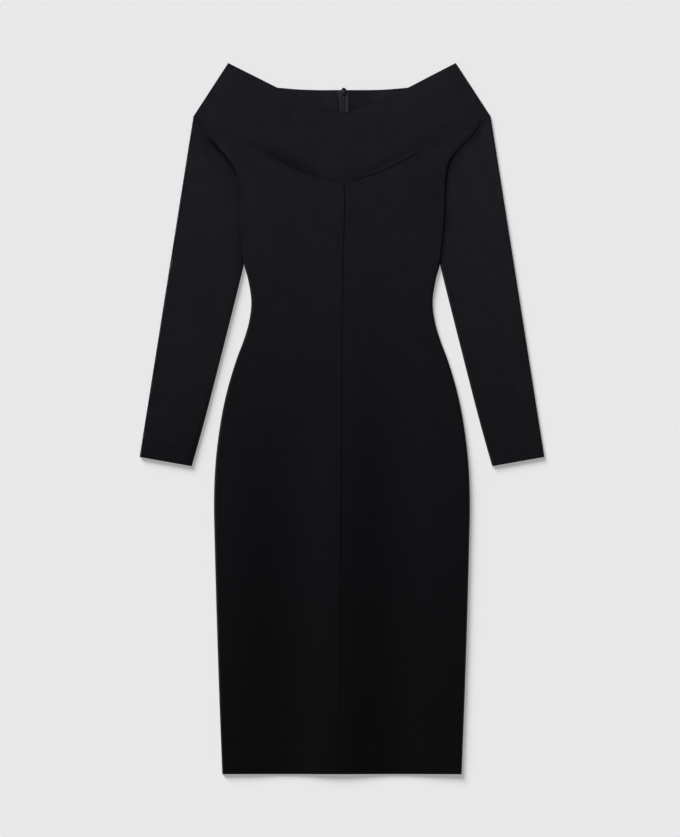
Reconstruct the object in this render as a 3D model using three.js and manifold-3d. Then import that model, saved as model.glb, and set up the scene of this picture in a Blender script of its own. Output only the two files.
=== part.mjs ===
// Knit midi dress laid flat on its back: a folded off-the-shoulder band over a fitted dress with
// long set-in sleeves, a centre front seam, and a concealed zip in the centre back.
// Millimetres. X runs across, Y from hem to neck, Z up from the surface that the dress lies on.
// Left and right are as seen from above with the neck away. Heights "up" are from the hem edge.

import Module from "manifold-3d";
import * as THREE from "three";
import { mergeVertices } from "three/addons/utils/BufferGeometryUtils.js";

// Cloth
const WALL = 1.5; // one layer of the double knit
const BAND_WALL = 2.4; // the band is folded double
const PRESSED_WALL = 1.6; // the band at its folded neck edge
const TURN_UP = 0.9; // added inside by the hem's and cuff's turn-up
const TURN_UP_DEPTH = 30;
const SEAM = 0.3; // between pieces that are sewn together
const SLANT_SEAM = 0.42; // the same, measured up or across a slanted seam

// Overall sizes
const LENGTH = 1222.6; // hem to the band's shoulder peaks
const PEAK_OUT = 195.6; // centre to a shoulder peak
const CORNER_OUT = 255.6; // centre to the band's outer corner, where the sleeve's fold starts
const ARMHOLE_OUT = 241; // centre to where the armhole seam meets the band
const UNDERARM_UP = 978;

// Half width of the body, hem to underarm, then out along the armhole to the band
const BODY_EDGE = [
  { up: 0, out: 205.9 },
  { up: 190, out: 213 },
  { up: 400, out: 219 },
  { up: 475, out: 220.1 },
  { up: 540, out: 217 },
  { up: 608, out: 208.3 },
  { up: 660, out: 197.3 },
  { up: 712, out: 181.8 },
  { up: 746, out: 169 },
  { up: 778, out: 159.8 },
  { up: 812, out: 156 },
  { up: 850, out: 161.4 },
  { up: 876, out: 168.4 },
  { up: 925, out: 174.5 },
  { up: UNDERARM_UP, out: 178 },
  { up: 1012, out: 179.5 },
  { up: 1040, out: 183 },
  { up: 1062, out: 192 },
  { up: 1082, out: 209 },
  { up: 1098, out: 226 },
  { up: 1123.2, out: ARMHOLE_OUT },
];

// Inner edge of a sleeve where it hangs clear of the body
const SLEEVE_INNER = [
  { up: 529.2, out: 258.2 },
  { up: 580, out: 243.7 },
  { up: 643, out: 226.9 },
  { up: 832, out: 179.1 },
  { up: 876, out: 168.4 },
];
const CUFF_OUTER = { up: 545.1, out: 348.1 };
const CUFF_INNER = SLEEVE_INNER[0];

// Lower seam of the band, centre to corner, in front and behind
const FRONT_SEAM = [
  { out: 0, up: 1014.6 },
  { out: 30, up: 1023.8 },
  { out: 69, up: 1036.8 },
  { out: 100, up: 1051.4 },
  { out: 150, up: 1076.9 },
  { out: CORNER_OUT, up: 1130.6 },
];
const BACK_SEAM = [
  { out: 0, up: 1064 },
  { out: 60, up: 1065 },
  { out: 110, up: 1069 },
  { out: 143, up: 1077.6 },
  { out: 180, up: 1092.6 },
  { out: CORNER_OUT, up: 1130.6 },
];

// Neck edge of the back, centre to where it passes under the front band
const BACK_NECK_TUCK = 112;
const BACK_NECK_DROP = 1; // it stays this far below the front's edge from there to the peak
const BACK_NECK = [
  { out: 0, up: 1176 },
  { out: 45, up: 1176.2 },
  { out: 75, up: 1177.2 },
  { out: 100, up: 1179.2 },
  { out: BACK_NECK_TUCK, up: 1180.3 },
];

// How far the hand-laid centre line strays to the right, hem to neck
const CENTRE_LINE = [
  { up: 0, stray: -2.6 },
  { up: 370, stray: -0.9 },
  { up: 640, stray: 0 },
  { up: 875, stray: 1.7 },
  { up: 975, stray: 5 },
  { up: 1030, stray: 3.4 },
  { up: LENGTH, stray: 3 },
];

// Lie of the front: the height of its upper face, and its largest folds. Ridges are positive.
const FOLD_FADE = 0.25; // share of a fold's length over which each end fades out
const FRONT_LEVEL = 5.9;
const BAND_LEVEL = 6.4;
const FOLDS = [
  { form: "centre seam ridge", xHem: -4, xTop: 4, from: -200, to: 1300, width: 34, rise: 0.9 },
  { form: "left skirt trough", xHem: -84, xTop: -64, from: -150, to: 690, width: 44, rise: -0.6 },
  { form: "right skirt trough", xHem: 96, xTop: 72, from: -150, to: 740, width: 40, rise: -0.7 },
  { form: "left hip swell", xHem: -150, xTop: -150, from: 120, to: 620, width: 42, rise: 0.35 },
  { form: "right hip swell", xHem: 158, xTop: 158, from: 60, to: 640, width: 40, rise: 0.4 },
  { form: "left bust swell", xHem: -105, xTop: -105, from: 840, to: 1120, width: 48, rise: 0.45 },
  { form: "right bust swell", xHem: 108, xTop: 108, from: 830, to: 1120, width: 46, rise: 0.5 },
  { form: "left midriff trough", xHem: -60, xTop: -60, from: 760, to: 960, width: 32, rise: -0.3 },
  { form: "right midriff trough", xHem: 66, xTop: 66, from: 740, to: 950, width: 30, rise: -0.3 },
];

// Edges that roll over
const EDGE_RADIUS = 14; // the front curls down to a side seam over this width
const ROLL_FULLNESS = 0.75; // 0.5 is a quarter ellipse, 1 a parabola
const EDGE_LIFT = 0.6; // the back curls up to it by this much
const EDGE_LIFT_WIDTH = 6;
const ARMHOLE_OPENING = { below: 16, above: 24 }; // the closed edges open over this, at the underarm
const ARMHOLE_EDGE = 0.9; // share of its height that the body keeps at the armhole
const NECK_RADIUS = 18; // the front band rolls down to its neck edge over this
const PRESSED_WIDTH = 5;
const BAND_STRAIGHT = 24; // this near the centre the band's columns run straight up
const BAND_SEAM_DIP = 0.7; // the band rolls down into its lower seam
const BAND_SEAM_DIP_WIDTH = 14;
const SLEEVE_LEVEL = 5.3; // upper face of a sleeve
const SLEEVE_RADIUS = 8; // width of its rolled fold
const SLEEVE_SAG = 0.35; // the sleeve's middle lies this much lower
const ARMHOLE_STEP = 0.4; // the body's edge stands over the sleeve's along the armhole

// Zip in the centre back
const ZIP_FOOT_UP = 655;
const ZIP_TAPE_WALL = 0.6;
const ZIP_TAPE_WIDTH = 10;
const ZIP_TAPE_WIDTH_IN_BAND = 6.5; // what shows of it between the band's inner edges
const CHAIN_HALF = 2;
const CHAIN_HEIGHT = 1.5;
const ZIP_REBATE = 9.25; // the band's inner layer stops this far from the centre
const ZIP_LIFT = 1; // the front band's neck edge rises over the coil
const ZIP_LIFT_WIDTH = 14;
const CHAIN_EDGE = 0.5; // the coil's rounded edges are this much lower
const STOP = { length: 4, height: 2, bevel: 0.5 };

// Slider at the top of the zip, its bridge on the outside of the cloth, and the pull tab on that
const SLIDER_UP = { foot: 1165.8, nose: 1179.9 };
const SLIDER_HALF = 5.75;
const SLIDER_PLATE = 1.9;
const SLIDER_BEVEL = 0.5;
const SLIDER_SIDES = 20;
const SLIDER_BLUNTNESS = 1.25; // 1 is an ellipse, 2 a straight-sided diamond
const SLIDER_CORE_INSET = 0.7;
const SLIT = { half: 1.1, from: 1157, to: 1164.5 }; // the back's edges part round the keel
const KEEL_HALF = 0.7;
const BRIDGE = { foot: 1166.5, nose: 1179, barFoot: 1168, barNose: 1177.2, under: 0.2, over: 0.9 };
const WINDOW_TOP = 2.5; // the bridge's window reaches this high
const PIVOT = { up: 1173.5, z: 1.7 };
const PULL = {
  bar: 0.45,
  wall: 0.8,
  eyeHalf: 1.2,
  eyeEnd: 7.4,
  neckHalf: 2.1,
  neckEnd: 8.4,
  length: 24,
  half: 3,
};
const PULL_TILT = THREE.MathUtils.degToRad(2.8); // its free end lies on the surface
const LIFT = { height: 2.7, from: 1139, to: 1154, full: 5, end: 24 }; // the back rises over it

// Rows and columns of the panels
const SKIRT_ROWS = [0, 15, TURN_UP_DEPTH, TURN_UP_DEPTH + 1, 80, 135, 190, 245, 300, 355, 410, 465];
const BACK_ROWS = [0, TURN_UP_DEPTH, TURN_UP_DEPTH + 1, 135, 245, 355, 465, 560, 645, 712, 768, 812, 846];
const WAIST_ROWS = [515, 560, 605, 645, 680, 712, 742, 768, 790, 812, 834, 856];
const JOINED_ROWS = [876, 905, 935, 960, UNDERARM_UP, 997, 1015, 1031, 1046, 1059, 1070, 1082, 1098, 1111];
const SLEEVE_ROWS = [529.2, 529.2 + TURN_UP_DEPTH, 530.2 + TURN_UP_DEPTH, 605, 650, 700, 750, 795, 838];
const FRONT_COLUMNS = [0, 12, 28, 48, 68, 88, 108, 134, 162, 190];
const BACK_COLUMNS = [0, 32, 60, 90, 110, 128, 143, 165, 190];
const ZIP_REBATE_COLUMNS = [4, 9.1, 9.4, 16, 24];
const FRONT_EDGE_STEPS = [22, 12, 6, 2.5, 0.8, 0];
const BACK_EDGE_STEPS = [14, 6, 2.5, 0];
const BAND_STEPS = [0, 0.04, 0.12, 0.34, 0.6, 0.84, 0.95, 1];
const BACK_BAND_STEPS = [0, 0.16, 0.36, 0.56, 0.68, 0.76, 0.82, 0.9, 0.95, 1];
const ZIP_ROWS = [700, 760, 820, 876, 925, 975, 1000, 1030, 1057];
const ZIP_BAND_UP = 1060; // the tape narrows here to pass inside the band
const SLEEVE_MIDDLE = [0.3, 0.52, 0.76];
const FOLD_ANGLES = [90, 58, 32, 10, -10, -32, -58, -90];
const UNDERARM_ANGLES = [1, 32, 58, 90];

const KNIT = new THREE.MeshStandardMaterial({ color: 0x17171a, roughness: 0.92, metalness: 0 });
const TAPE = new THREE.MeshStandardMaterial({ color: 0x1c1c20, roughness: 0.85, metalness: 0 });
const COIL = new THREE.MeshStandardMaterial({ color: 0x131316, roughness: 0.5, metalness: 0 });
const ENAMEL = new THREE.MeshStandardMaterial({ color: 0x161619, roughness: 0.35, metalness: 0.5 });

// A smooth curve through a table's rows, from one named column to another
function curveThrough(rows, from, to) {
  const slope = rows.map((row, i) => {
    const before = rows[Math.max(i - 1, 0)];
    const after = rows[Math.min(i + 1, rows.length - 1)];
    return (after[to] - before[to]) / (after[from] - before[from]);
  });
  return (value) => {
    const last = rows.length - 1;
    if (value <= rows[0][from]) return rows[0][to] + slope[0] * (value - rows[0][from]);
    if (value >= rows[last][from]) return rows[last][to] + slope[last] * (value - rows[last][from]);
    const i = rows.findIndex((row) => row[from] > value) - 1;
    const span = rows[i + 1][from] - rows[i][from];
    const t = (value - rows[i][from]) / span;
    const rise = rows[i + 1][to] - rows[i][to];
    const bend = (1 - t) * (slope[i] * span - rise) - t * (slope[i + 1] * span - rise);
    return rows[i][to] + rise * t + t * (1 - t) * bend;
  };
}

const bodyEdge = curveThrough(BODY_EDGE, "up", "out");
const freeSleeveInner = curveThrough(SLEEVE_INNER, "up", "out");
const frontSeam = curveThrough(FRONT_SEAM, "out", "up");
const backSeam = curveThrough(BACK_SEAM, "out", "up");
const tuckedBackNeck = curveThrough(BACK_NECK, "out", "up");
const centreLine = curveThrough(CENTRE_LINE, "up", "stray");
const lerp = THREE.MathUtils.lerp;
const smooth = THREE.MathUtils.smoothstep;
const FAN_UP = JOINED_ROWS[0];
const BAND_RISE = LENGTH - frontSeam(PEAK_OUT); // the front band's neck edge above its lower seam
const ARMHOLE_TOP_UP = frontSeam(ARMHOLE_OUT) - SLANT_SEAM;
const CORNER_UP = frontSeam(CORNER_OUT);

function frontNeck(out) {
  return frontSeam(out) + BAND_RISE;
}

function backNeck(out) {
  return out < BACK_NECK_TUCK ? tuckedBackNeck(out) : frontNeck(out) - BACK_NECK_DROP;
}

// How far open the sleeve and body are at a height: 0 below the underarm, 1 along the armhole
function armholeOpen(up) {
  return smooth(up, UNDERARM_UP - ARMHOLE_OPENING.below, UNDERARM_UP + ARMHOLE_OPENING.above);
}

// Sum of the front's folds at a point
function foldsAt(x, up) {
  return FOLDS.reduce((sum, fold) => {
    const across = (x - lerp(fold.xHem, fold.xTop, up / LENGTH)) / fold.width;
    const reach = (fold.to - fold.from) * FOLD_FADE;
    const along = smooth(up, fold.from, fold.from + reach) * (1 - smooth(up, fold.to - reach, fold.to));
    return sum + fold.rise * Math.exp(-across * across) * along;
  }, 0);
}

// Rounded profile, 0 at an edge and 1 past its radius
function roll(distance, radius = EDGE_RADIUS) {
  const t = Math.min(distance / radius, 1);
  return (1 - (1 - t) ** 2) ** ROLL_FULLNESS;
}

// How much the back curls up near a closed side edge
function edgeLift(distance, shut) {
  const t = Math.max(1 - distance / EDGE_LIFT_WIDTH, 0);
  return EDGE_LIFT * t * t * shut;
}

// How much the cloth of the back rises over the pull tab
function pullLift(fromZip, up) {
  const across = 1 - smooth(Math.abs(fromZip), LIFT.full, LIFT.end);
  return LIFT.height * across * smooth(up, LIFT.from, LIFT.to);
}

// The turn-up's thickness, on the hem's rows and clear of the side seams
function turnUp(up, distance) {
  return up <= TURN_UP_DEPTH && distance > EDGE_LIFT_WIDTH ? TURN_UP : 0;
}

// One closed body between two grids of points, which are its two faces
function wallSolid(faceA, faceB) {
  const rows = faceA.length;
  const columns = faceA[0].length;
  const grid = rows * columns;
  const corners = [...faceA.flat(), ...faceB.flat()].flatMap((p) => [p.x, p.y, p.z]);
  const index = [];
  const quad = (a, b, c, d) => index.push(a, b, c, a, c, d);
  const at = (i, j) => i * columns + j;
  for (let i = 0; i < rows - 1; i += 1) {
    for (let j = 0; j < columns - 1; j += 1) {
      quad(at(i, j), at(i, j + 1), at(i + 1, j + 1), at(i + 1, j));
      quad(grid + at(i, j), grid + at(i + 1, j), grid + at(i + 1, j + 1), grid + at(i, j + 1));
    }
    quad(at(i, 0), at(i + 1, 0), grid + at(i + 1, 0), grid + at(i, 0));
    const end = columns - 1;
    quad(at(i, end), grid + at(i, end), grid + at(i + 1, end), at(i + 1, end));
  }
  for (let j = 0; j < columns - 1; j += 1) {
    const end = rows - 1;
    quad(at(0, j), grid + at(0, j), grid + at(0, j + 1), at(0, j + 1));
    quad(at(end, j), at(end, j + 1), grid + at(end, j + 1), grid + at(end, j));
  }
  return outward(corners, index);
}

// A geometry whose faces point out, whichever way round its index was written
function outward(corners, index) {
  const point = (i) => new THREE.Vector3().fromArray(corners, index[i] * 3);
  let volume = 0;
  for (let i = 0; i < index.length; i += 3) {
    volume += point(i).dot(point(i + 1).cross(point(i + 2)));
  }
  if (volume < 0) {
    for (let i = 0; i < index.length; i += 3) {
      [index[i + 1], index[i + 2]] = [index[i + 2], index[i + 1]];
    }
  }
  const geometry = new THREE.BufferGeometry();
  geometry.setAttribute("position", new THREE.Float32BufferAttribute(corners, 3));
  geometry.setIndex(index);
  geometry.computeVertexNormals();
  return geometry;
}

// The points of a panel's row, centre to side edge, that ends at one height on that edge. Rows lie
// level over the skirt, and from the foot of the armhole's fan they turn towards the band's seam.
function bodyRow(side, edgeUp, seam, columns, edgeSteps) {
  const half = bodyEdge(edgeUp);
  const fan = Math.max((edgeUp - FAN_UP) / (ARMHOLE_TOP_UP - FAN_UP), 0);
  const outs = [
    ...columns.map((out) => (out * half) / ARMHOLE_OUT),
    ...edgeSteps.map((step) => half - step),
  ];
  return outs.map((out) => {
    const share = out / half;
    const y = fan > 0 ? lerp(FAN_UP, seam(share * ARMHOLE_OUT) - SLANT_SEAM, fan) : edgeUp;
    const x = side * Math.max(out, SEAM / 2) + centreLine(y) * (1 - share);
    return { x, y, distance: half - out, open: armholeOpen(edgeUp) };
  });
}

function frontPanel(side) {
  const rows = [...SKIRT_ROWS, ...WAIST_ROWS, ...JOINED_ROWS, ARMHOLE_TOP_UP].map((up) =>
    bodyRow(side, up, frontSeam, FRONT_COLUMNS, FRONT_EDGE_STEPS),
  );
  const upper = ({ x, y, distance, open }) => {
    const shut = 1 - open;
    const floor = WALL + edgeLift(distance, shut) + SEAM;
    const room = FRONT_LEVEL + foldsAt(x, y) - 2 * WALL - SEAM;
    const rolled = lerp(roll(distance), lerp(ARMHOLE_EDGE, 1, roll(distance)), open);
    return floor + room * rolled + WALL;
  };
  return wallSolid(
    rows.map((row) => row.map((p) => ({ ...p, z: upper(p) }))),
    rows.map((row) => row.map((p) => ({ ...p, z: upper(p) - WALL - turnUp(p.y, p.distance) }))),
  );
}

function backPanel(side) {
  const rows = [...BACK_ROWS, ...JOINED_ROWS, ARMHOLE_TOP_UP].map((up) =>
    bodyRow(side, up, backSeam, BACK_COLUMNS, BACK_EDGE_STEPS),
  );
  const under = ({ distance, open }) => edgeLift(distance, 1 - open);
  return wallSolid(
    rows.map((row) => row.map((p) => ({ ...p, z: under(p) }))),
    rows.map((row) => row.map((p) => ({ ...p, z: under(p) + WALL + turnUp(p.y, p.distance) }))),
  );
}

// A sleeve's section across its two layers: it runs from the underarm over the front, round the
// outer fold and back under. Its points are [distance from the inner edge, height].
function sleeveSection(width, level, wall, open) {
  const radius = Math.min(SLEEVE_RADIUS, width / 4);
  const middle = level / 2;
  const sagAt = (a) => SLEEVE_SAG * Math.sin((Math.PI * a) / width) * (wall > WALL ? 0 : 1);
  const outer = [];
  const inner = [];
  const underarm = (degrees) => {
    const angle = THREE.MathUtils.degToRad(Math.abs(degrees));
    const facing = Math.sign(degrees);
    const lip = middle + (facing * SEAM) / 2;
    const flat = radius * (1 - Math.cos(angle));
    const outerFlat = facing > 0 ? level : 0;
    const innerFlat = outerFlat - facing * wall;
    const outerZ = lip + facing * (middle - SEAM / 2) * Math.sin(angle);
    const innerZ = lip + facing * (middle - SEAM / 2 - wall) * Math.sin(angle);
    outer.push([flat, lerp(outerZ, outerFlat, open)]);
    const innerFrom = radius - (radius - wall) * Math.cos(angle);
    inner.push([lerp(innerFrom, flat, open), lerp(innerZ, innerFlat, open)]);
  };
  const across = (share, facing) => {
    const a = lerp(radius, width - radius, share);
    const z = facing > 0 ? level - sagAt(a) : 0;
    outer.push([a, z]);
    inner.push([a, z - facing * wall]);
  };
  const fold = (degrees) => {
    const angle = THREE.MathUtils.degToRad(degrees);
    outer.push([width - radius + radius * Math.cos(angle), middle * (1 + Math.sin(angle))]);
    const insideZ = middle + (middle - wall) * Math.sin(angle);
    inner.push([width - radius + (radius - wall) * Math.cos(angle), insideZ]);
  };
  UNDERARM_ANGLES.forEach(underarm);
  SLEEVE_MIDDLE.forEach((share) => across(share, 1));
  FOLD_ANGLES.forEach(fold);
  [...SLEEVE_MIDDLE].reverse().forEach((share) => across(share, -1));
  [...UNDERARM_ANGLES].reverse().forEach((degrees) => underarm(-degrees));
  return { outer, inner };
}

function sleeve(side) {
  const rows = [...SLEEVE_ROWS, ...JOINED_ROWS, ARMHOLE_TOP_UP].map((innerUp) => {
    const joined = innerUp >= FAN_UP;
    const innerOut = joined ? bodyEdge(innerUp) + SLANT_SEAM : freeSleeveInner(innerUp);
    const along = (innerUp - CUFF_INNER.up) / (ARMHOLE_TOP_UP - CUFF_INNER.up);
    const outerUp = lerp(CUFF_OUTER.up, CORNER_UP - SLANT_SEAM, along);
    const outerOut = lerp(CUFF_OUTER.out, CORNER_OUT, along);
    const width = Math.hypot(outerOut - innerOut, outerUp - innerUp);
    const wall = WALL + (innerUp <= CUFF_INNER.up + TURN_UP_DEPTH ? TURN_UP : 0);
    const level = SLEEVE_LEVEL - ARMHOLE_STEP * armholeOpen(innerUp);
    const { outer, inner } = sleeveSection(width, level, wall, armholeOpen(innerUp));
    const place = ([a, z]) => ({
      x: side * lerp(innerOut, outerOut, a / width),
      y: lerp(innerUp, outerUp, a / width),
      z,
    });
    return { outer: outer.map(place), inner: inner.map(place) };
  });
  return wallSolid(
    rows.map((row) => row.outer),
    rows.map((row) => row.inner),
  );
}

// A point of the band's plan, from its lower seam at 0 to its neck edge at 1
function bandPoint(side, out, share, seam, neck) {
  const narrowing = (CORNER_OUT - PEAK_OUT) / (CORNER_OUT - BAND_STRAIGHT);
  const neckOut = out - narrowing * Math.max(out - BAND_STRAIGHT, 0);
  const y = lerp(seam(out), neck(neckOut), share);
  const stray = centreLine(y) * Math.max(1 - out / ARMHOLE_OUT, 0);
  return {
    x: side * lerp(out, neckOut, share) + stray,
    y,
    distance: (CORNER_OUT - out) * lerp(1, 1 - narrowing, share),
    neckDistance: (1 - share) * BAND_RISE,
    fromZip: side * out,
  };
}

function frontBand() {
  const half = [...FRONT_COLUMNS, ...FRONT_EDGE_STEPS.map((step) => CORNER_OUT - step)];
  const columns = [
    ...half.slice(1).reverse().map((out) => ({ side: -1, out })),
    ...half.map((out) => ({ side: 1, out })),
  ];
  const rows = BAND_STEPS.map((share) =>
    columns.map(({ side, out }) => bandPoint(side, out, share, frontSeam, frontNeck)),
  );
  const wallAt = (p) => {
    const fromEdge = Math.min(p.distance, p.neckDistance);
    return lerp(PRESSED_WALL, BAND_WALL, smooth(fromEdge, 0, PRESSED_WIDTH));
  };
  const under = (p) => {
    const floor = BAND_WALL + edgeLift(p.distance, 1) + SEAM;
    const overZip = ZIP_LIFT * Math.exp(-((p.fromZip / ZIP_LIFT_WIDTH) ** 2));
    const dip = BAND_SEAM_DIP * (1 - smooth(BAND_RISE - p.neckDistance, 0, BAND_SEAM_DIP_WIDTH));
    const room = BAND_LEVEL + foldsAt(p.x, p.y) - dip - 2 * BAND_WALL - SEAM;
    const rolled = roll(p.distance) * roll(p.neckDistance, NECK_RADIUS);
    return floor + Math.max(room * rolled, overZip);
  };
  return wallSolid(
    rows.map((row) => row.map((p) => ({ ...p, z: under(p) }))),
    rows.map((row) => row.map((p) => ({ ...p, z: under(p) + wallAt(p) }))),
  );
}

function backBand(side) {
  const columns = [
    0,
    ...ZIP_REBATE_COLUMNS,
    ...BACK_COLUMNS.slice(1),
    ...BACK_EDGE_STEPS.map((step) => CORNER_OUT - step),
  ];
  const rows = BACK_BAND_STEPS.map((share) =>
    columns.map((out) => {
      const p = bandPoint(side, out, share, backSeam, backNeck);
      const slit = lerp(SEAM / 2, SLIT.half, smooth(p.y, SLIT.from, SLIT.to));
      const x = out > 0 ? p.x : p.x + side * slit;
      const z = edgeLift(p.distance, 1) + pullLift(out, p.y);
      return { x, y: p.y, z, wall: out < ZIP_REBATE ? WALL : BAND_WALL };
    }),
  );
  return wallSolid(
    rows,
    rows.map((row) => row.map((p) => ({ ...p, z: p.z + p.wall }))),
  );
}

// A long strip along the zip, at given heights, between two distances from its centre line
function zipStrip(side, ups, outsAt, heightAt) {
  const rows = ups.map((up) =>
    outsAt(up).map((out) => ({
      x: side * out + centreLine(up),
      y: up,
      z: WALL + SEAM + pullLift(out, up),
      height: heightAt(out),
    })),
  );
  return wallSolid(
    rows,
    rows.map((row) => row.map((p) => ({ ...p, z: p.z + p.height }))),
  );
}

const BAND_UPS = BACK_BAND_STEPS.map((share) => lerp(backSeam(0), backNeck(0), share));
const ZIP_UPS = [ZIP_FOOT_UP, ...ZIP_ROWS, ZIP_BAND_UP, ...BAND_UPS.slice(1)];

function zipTape(side) {
  const outsAt = (up) => {
    const width = up < ZIP_BAND_UP ? ZIP_TAPE_WIDTH : ZIP_TAPE_WIDTH_IN_BAND;
    const from = CHAIN_HALF + SEAM;
    return [from, from + width / 2, from + width];
  };
  return zipStrip(side, ZIP_UPS, outsAt, () => ZIP_TAPE_WALL);
}

function zipChain() {
  const ups = [
    ZIP_FOOT_UP + STOP.length + SEAM,
    ...ZIP_UPS.slice(1, -2),
    SLIDER_UP.foot - SEAM,
  ];
  const outs = [-CHAIN_HALF, -CHAIN_HALF / 2, CHAIN_HALF / 2, CHAIN_HALF];
  const heightAt = (out) => (Math.abs(out) < CHAIN_HALF ? CHAIN_HEIGHT : CHAIN_HEIGHT - CHAIN_EDGE);
  return zipStrip(1, ups, () => outs, heightAt);
}

// Clamp that ends the zip at its foot
function zipStop() {
  const shape = new THREE.Shape();
  shape.moveTo(-CHAIN_HALF, 0);
  shape.lineTo(CHAIN_HALF, 0);
  shape.lineTo(CHAIN_HALF, STOP.height - STOP.bevel);
  shape.lineTo(CHAIN_HALF - STOP.bevel, STOP.height);
  shape.lineTo(STOP.bevel - CHAIN_HALF, STOP.height);
  shape.lineTo(-CHAIN_HALF, STOP.height - STOP.bevel);
  const geometry = new THREE.ExtrudeGeometry(shape, { depth: STOP.length, bevelEnabled: false });
  geometry.rotateX(Math.PI / 2);
  geometry.translate(centreLine(ZIP_FOOT_UP), ZIP_FOOT_UP + STOP.length, WALL + SEAM);
  return geometry;
}

const wasm = await Module();
wasm.setup();

function solidOf(geometry) {
  const bare = geometry.clone();
  bare.deleteAttribute("normal");
  bare.deleteAttribute("uv");
  const merged = mergeVertices(bare);
  const vertProperties = Float32Array.from(merged.attributes.position.array);
  const triVerts = Uint32Array.from(merged.index.array);
  return new wasm.Manifold(new wasm.Mesh({ numProp: 3, vertProperties, triVerts }));
}

function geometryOf(solid) {
  const mesh = solid.getMesh();
  const geometry = new THREE.BufferGeometry();
  geometry.setAttribute("position", new THREE.BufferAttribute(mesh.vertProperties, 3));
  geometry.setIndex(new THREE.BufferAttribute(mesh.triVerts, 1));
  geometry.computeVertexNormals();
  return geometry;
}

// A side profile in Y and Z, extruded to both sides of X = 0
function profileAcross(shape, half) {
  const geometry = new THREE.ExtrudeGeometry(shape, { depth: 2 * half, bevelEnabled: false });
  geometry.rotateY(Math.PI / 2);
  geometry.rotateX(Math.PI / 2);
  geometry.translate(-half, 0, 0);
  return geometry;
}

function rectangle(path, x0, y0, x1, y1) {
  path.moveTo(x0, y0);
  path.lineTo(x1, y0);
  path.lineTo(x1, y1);
  path.lineTo(x0, y1);
  path.closePath();
  return path;
}

// The slider: a rounded diamond plate on the inside of the cloth, a core that guides the coil, and
// a keel through the slit that carries the bridge on the outside
function zipSlider() {
  const plateUnder = WALL + LIFT.height + SEAM + ZIP_TAPE_WALL + SEAM;
  const middle = (SLIDER_UP.foot + SLIDER_UP.nose) / 2;
  const reach = (SLIDER_UP.nose - SLIDER_UP.foot) / 2 - SLIDER_BEVEL;
  const halfWidth = SLIDER_HALF - SLIDER_BEVEL;
  const diamond = new THREE.Shape();
  for (let i = 0; i < SLIDER_SIDES; i += 1) {
    const angle = (i / SLIDER_SIDES) * 2 * Math.PI;
    const blunt = (value) => Math.sign(value) * Math.abs(value) ** SLIDER_BLUNTNESS;
    const x = halfWidth * blunt(Math.cos(angle));
    const y = middle + reach * blunt(Math.sin(angle));
    if (i === 0) diamond.moveTo(x, y);
    else diamond.lineTo(x, y);
  }
  diamond.closePath();
  const plate = new THREE.ExtrudeGeometry(diamond, {
    depth: SLIDER_PLATE - 2 * SLIDER_BEVEL,
    bevelThickness: SLIDER_BEVEL,
    bevelSize: SLIDER_BEVEL,
    bevelSegments: 2,
  });
  plate.translate(0, 0, plateUnder + SLIDER_BEVEL);
  const coreFoot = SLIDER_UP.foot + SLIDER_CORE_INSET;
  const coreUnder = WALL + LIFT.height + SEAM;
  const core = profileAcross(
    rectangle(new THREE.Shape(), coreFoot, coreUnder, BRIDGE.nose, plateUnder + SLIDER_BEVEL),
    CHAIN_HALF,
  );
  const keelTop = plateUnder + SLIDER_PLATE / 2;
  const side = rectangle(new THREE.Shape(), BRIDGE.foot, BRIDGE.under, BRIDGE.nose, keelTop);
  side.holes.push(
    rectangle(new THREE.Path(), BRIDGE.barFoot, BRIDGE.over, BRIDGE.barNose, WINDOW_TOP),
  );
  const keel = profileAcross(side, KEEL_HALF);
  const joined = solidOf(plate).add(solidOf(core)).add(solidOf(keel));
  const geometry = geometryOf(joined);
  geometry.translate(centreLine(PIVOT.up), 0, 0);
  return geometry;
}

// The pull tab, drawn about its pivot and pointing down the zip
function zipPull() {
  const shape = new THREE.Shape();
  const shoulder = PULL.half - PULL.length;
  shape.moveTo(-PULL.neckHalf, PULL.bar);
  shape.lineTo(-PULL.neckHalf, -PULL.neckEnd);
  shape.absarc(0, shoulder, PULL.half, Math.PI, 2 * Math.PI, false);
  shape.lineTo(PULL.neckHalf, -PULL.neckEnd);
  shape.lineTo(PULL.neckHalf, PULL.bar);
  shape.holes.push(
    rectangle(new THREE.Path(), -PULL.eyeHalf, -PULL.eyeEnd, PULL.eyeHalf, -PULL.bar),
  );
  const options = { depth: PULL.wall, bevelEnabled: false, curveSegments: 8 };
  const geometry = new THREE.ExtrudeGeometry(shape, options);
  geometry.translate(0, 0, -PULL.wall / 2);
  return geometry;
}

const dress = new THREE.Group();
dress.position.y = -LENGTH / 2;

function piece(name, geometry, material) {
  const mesh = new THREE.Mesh(geometry, material);
  mesh.name = name;
  dress.add(mesh);
  return mesh;
}

const SIDES = [
  { name: "left", side: -1 },
  { name: "right", side: 1 },
];
for (const { name, side } of SIDES) {
  piece(`back_${name}`, backPanel(side), KNIT);
  piece(`front_${name}`, frontPanel(side), KNIT);
  piece(`sleeve_${name}`, sleeve(side), KNIT);
  piece(`band_back_${name}`, backBand(side), KNIT);
  piece(`zip_tape_${name}`, zipTape(side), TAPE);
}
piece("band_front", frontBand(), KNIT);
piece("zip_chain", zipChain(), COIL);
piece("zip_stop", zipStop(), ENAMEL);
piece("zip_slider", zipSlider(), ENAMEL);
const pull = piece("zip_pull", zipPull(), ENAMEL);
pull.position.set(centreLine(PIVOT.up), PIVOT.up, PIVOT.z);
pull.rotation.x = PULL_TILT;

export default dress;
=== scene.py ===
# The looks of a knit midi dress that lies flat on its back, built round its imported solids.
# Sizes are millimetres until a mesh is made. X runs across, "up" runs from the hem to the neck, and Z
# is the height above the surface. Left and right are as seen from above with the neck away.

import math
from collections import namedtuple

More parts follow.
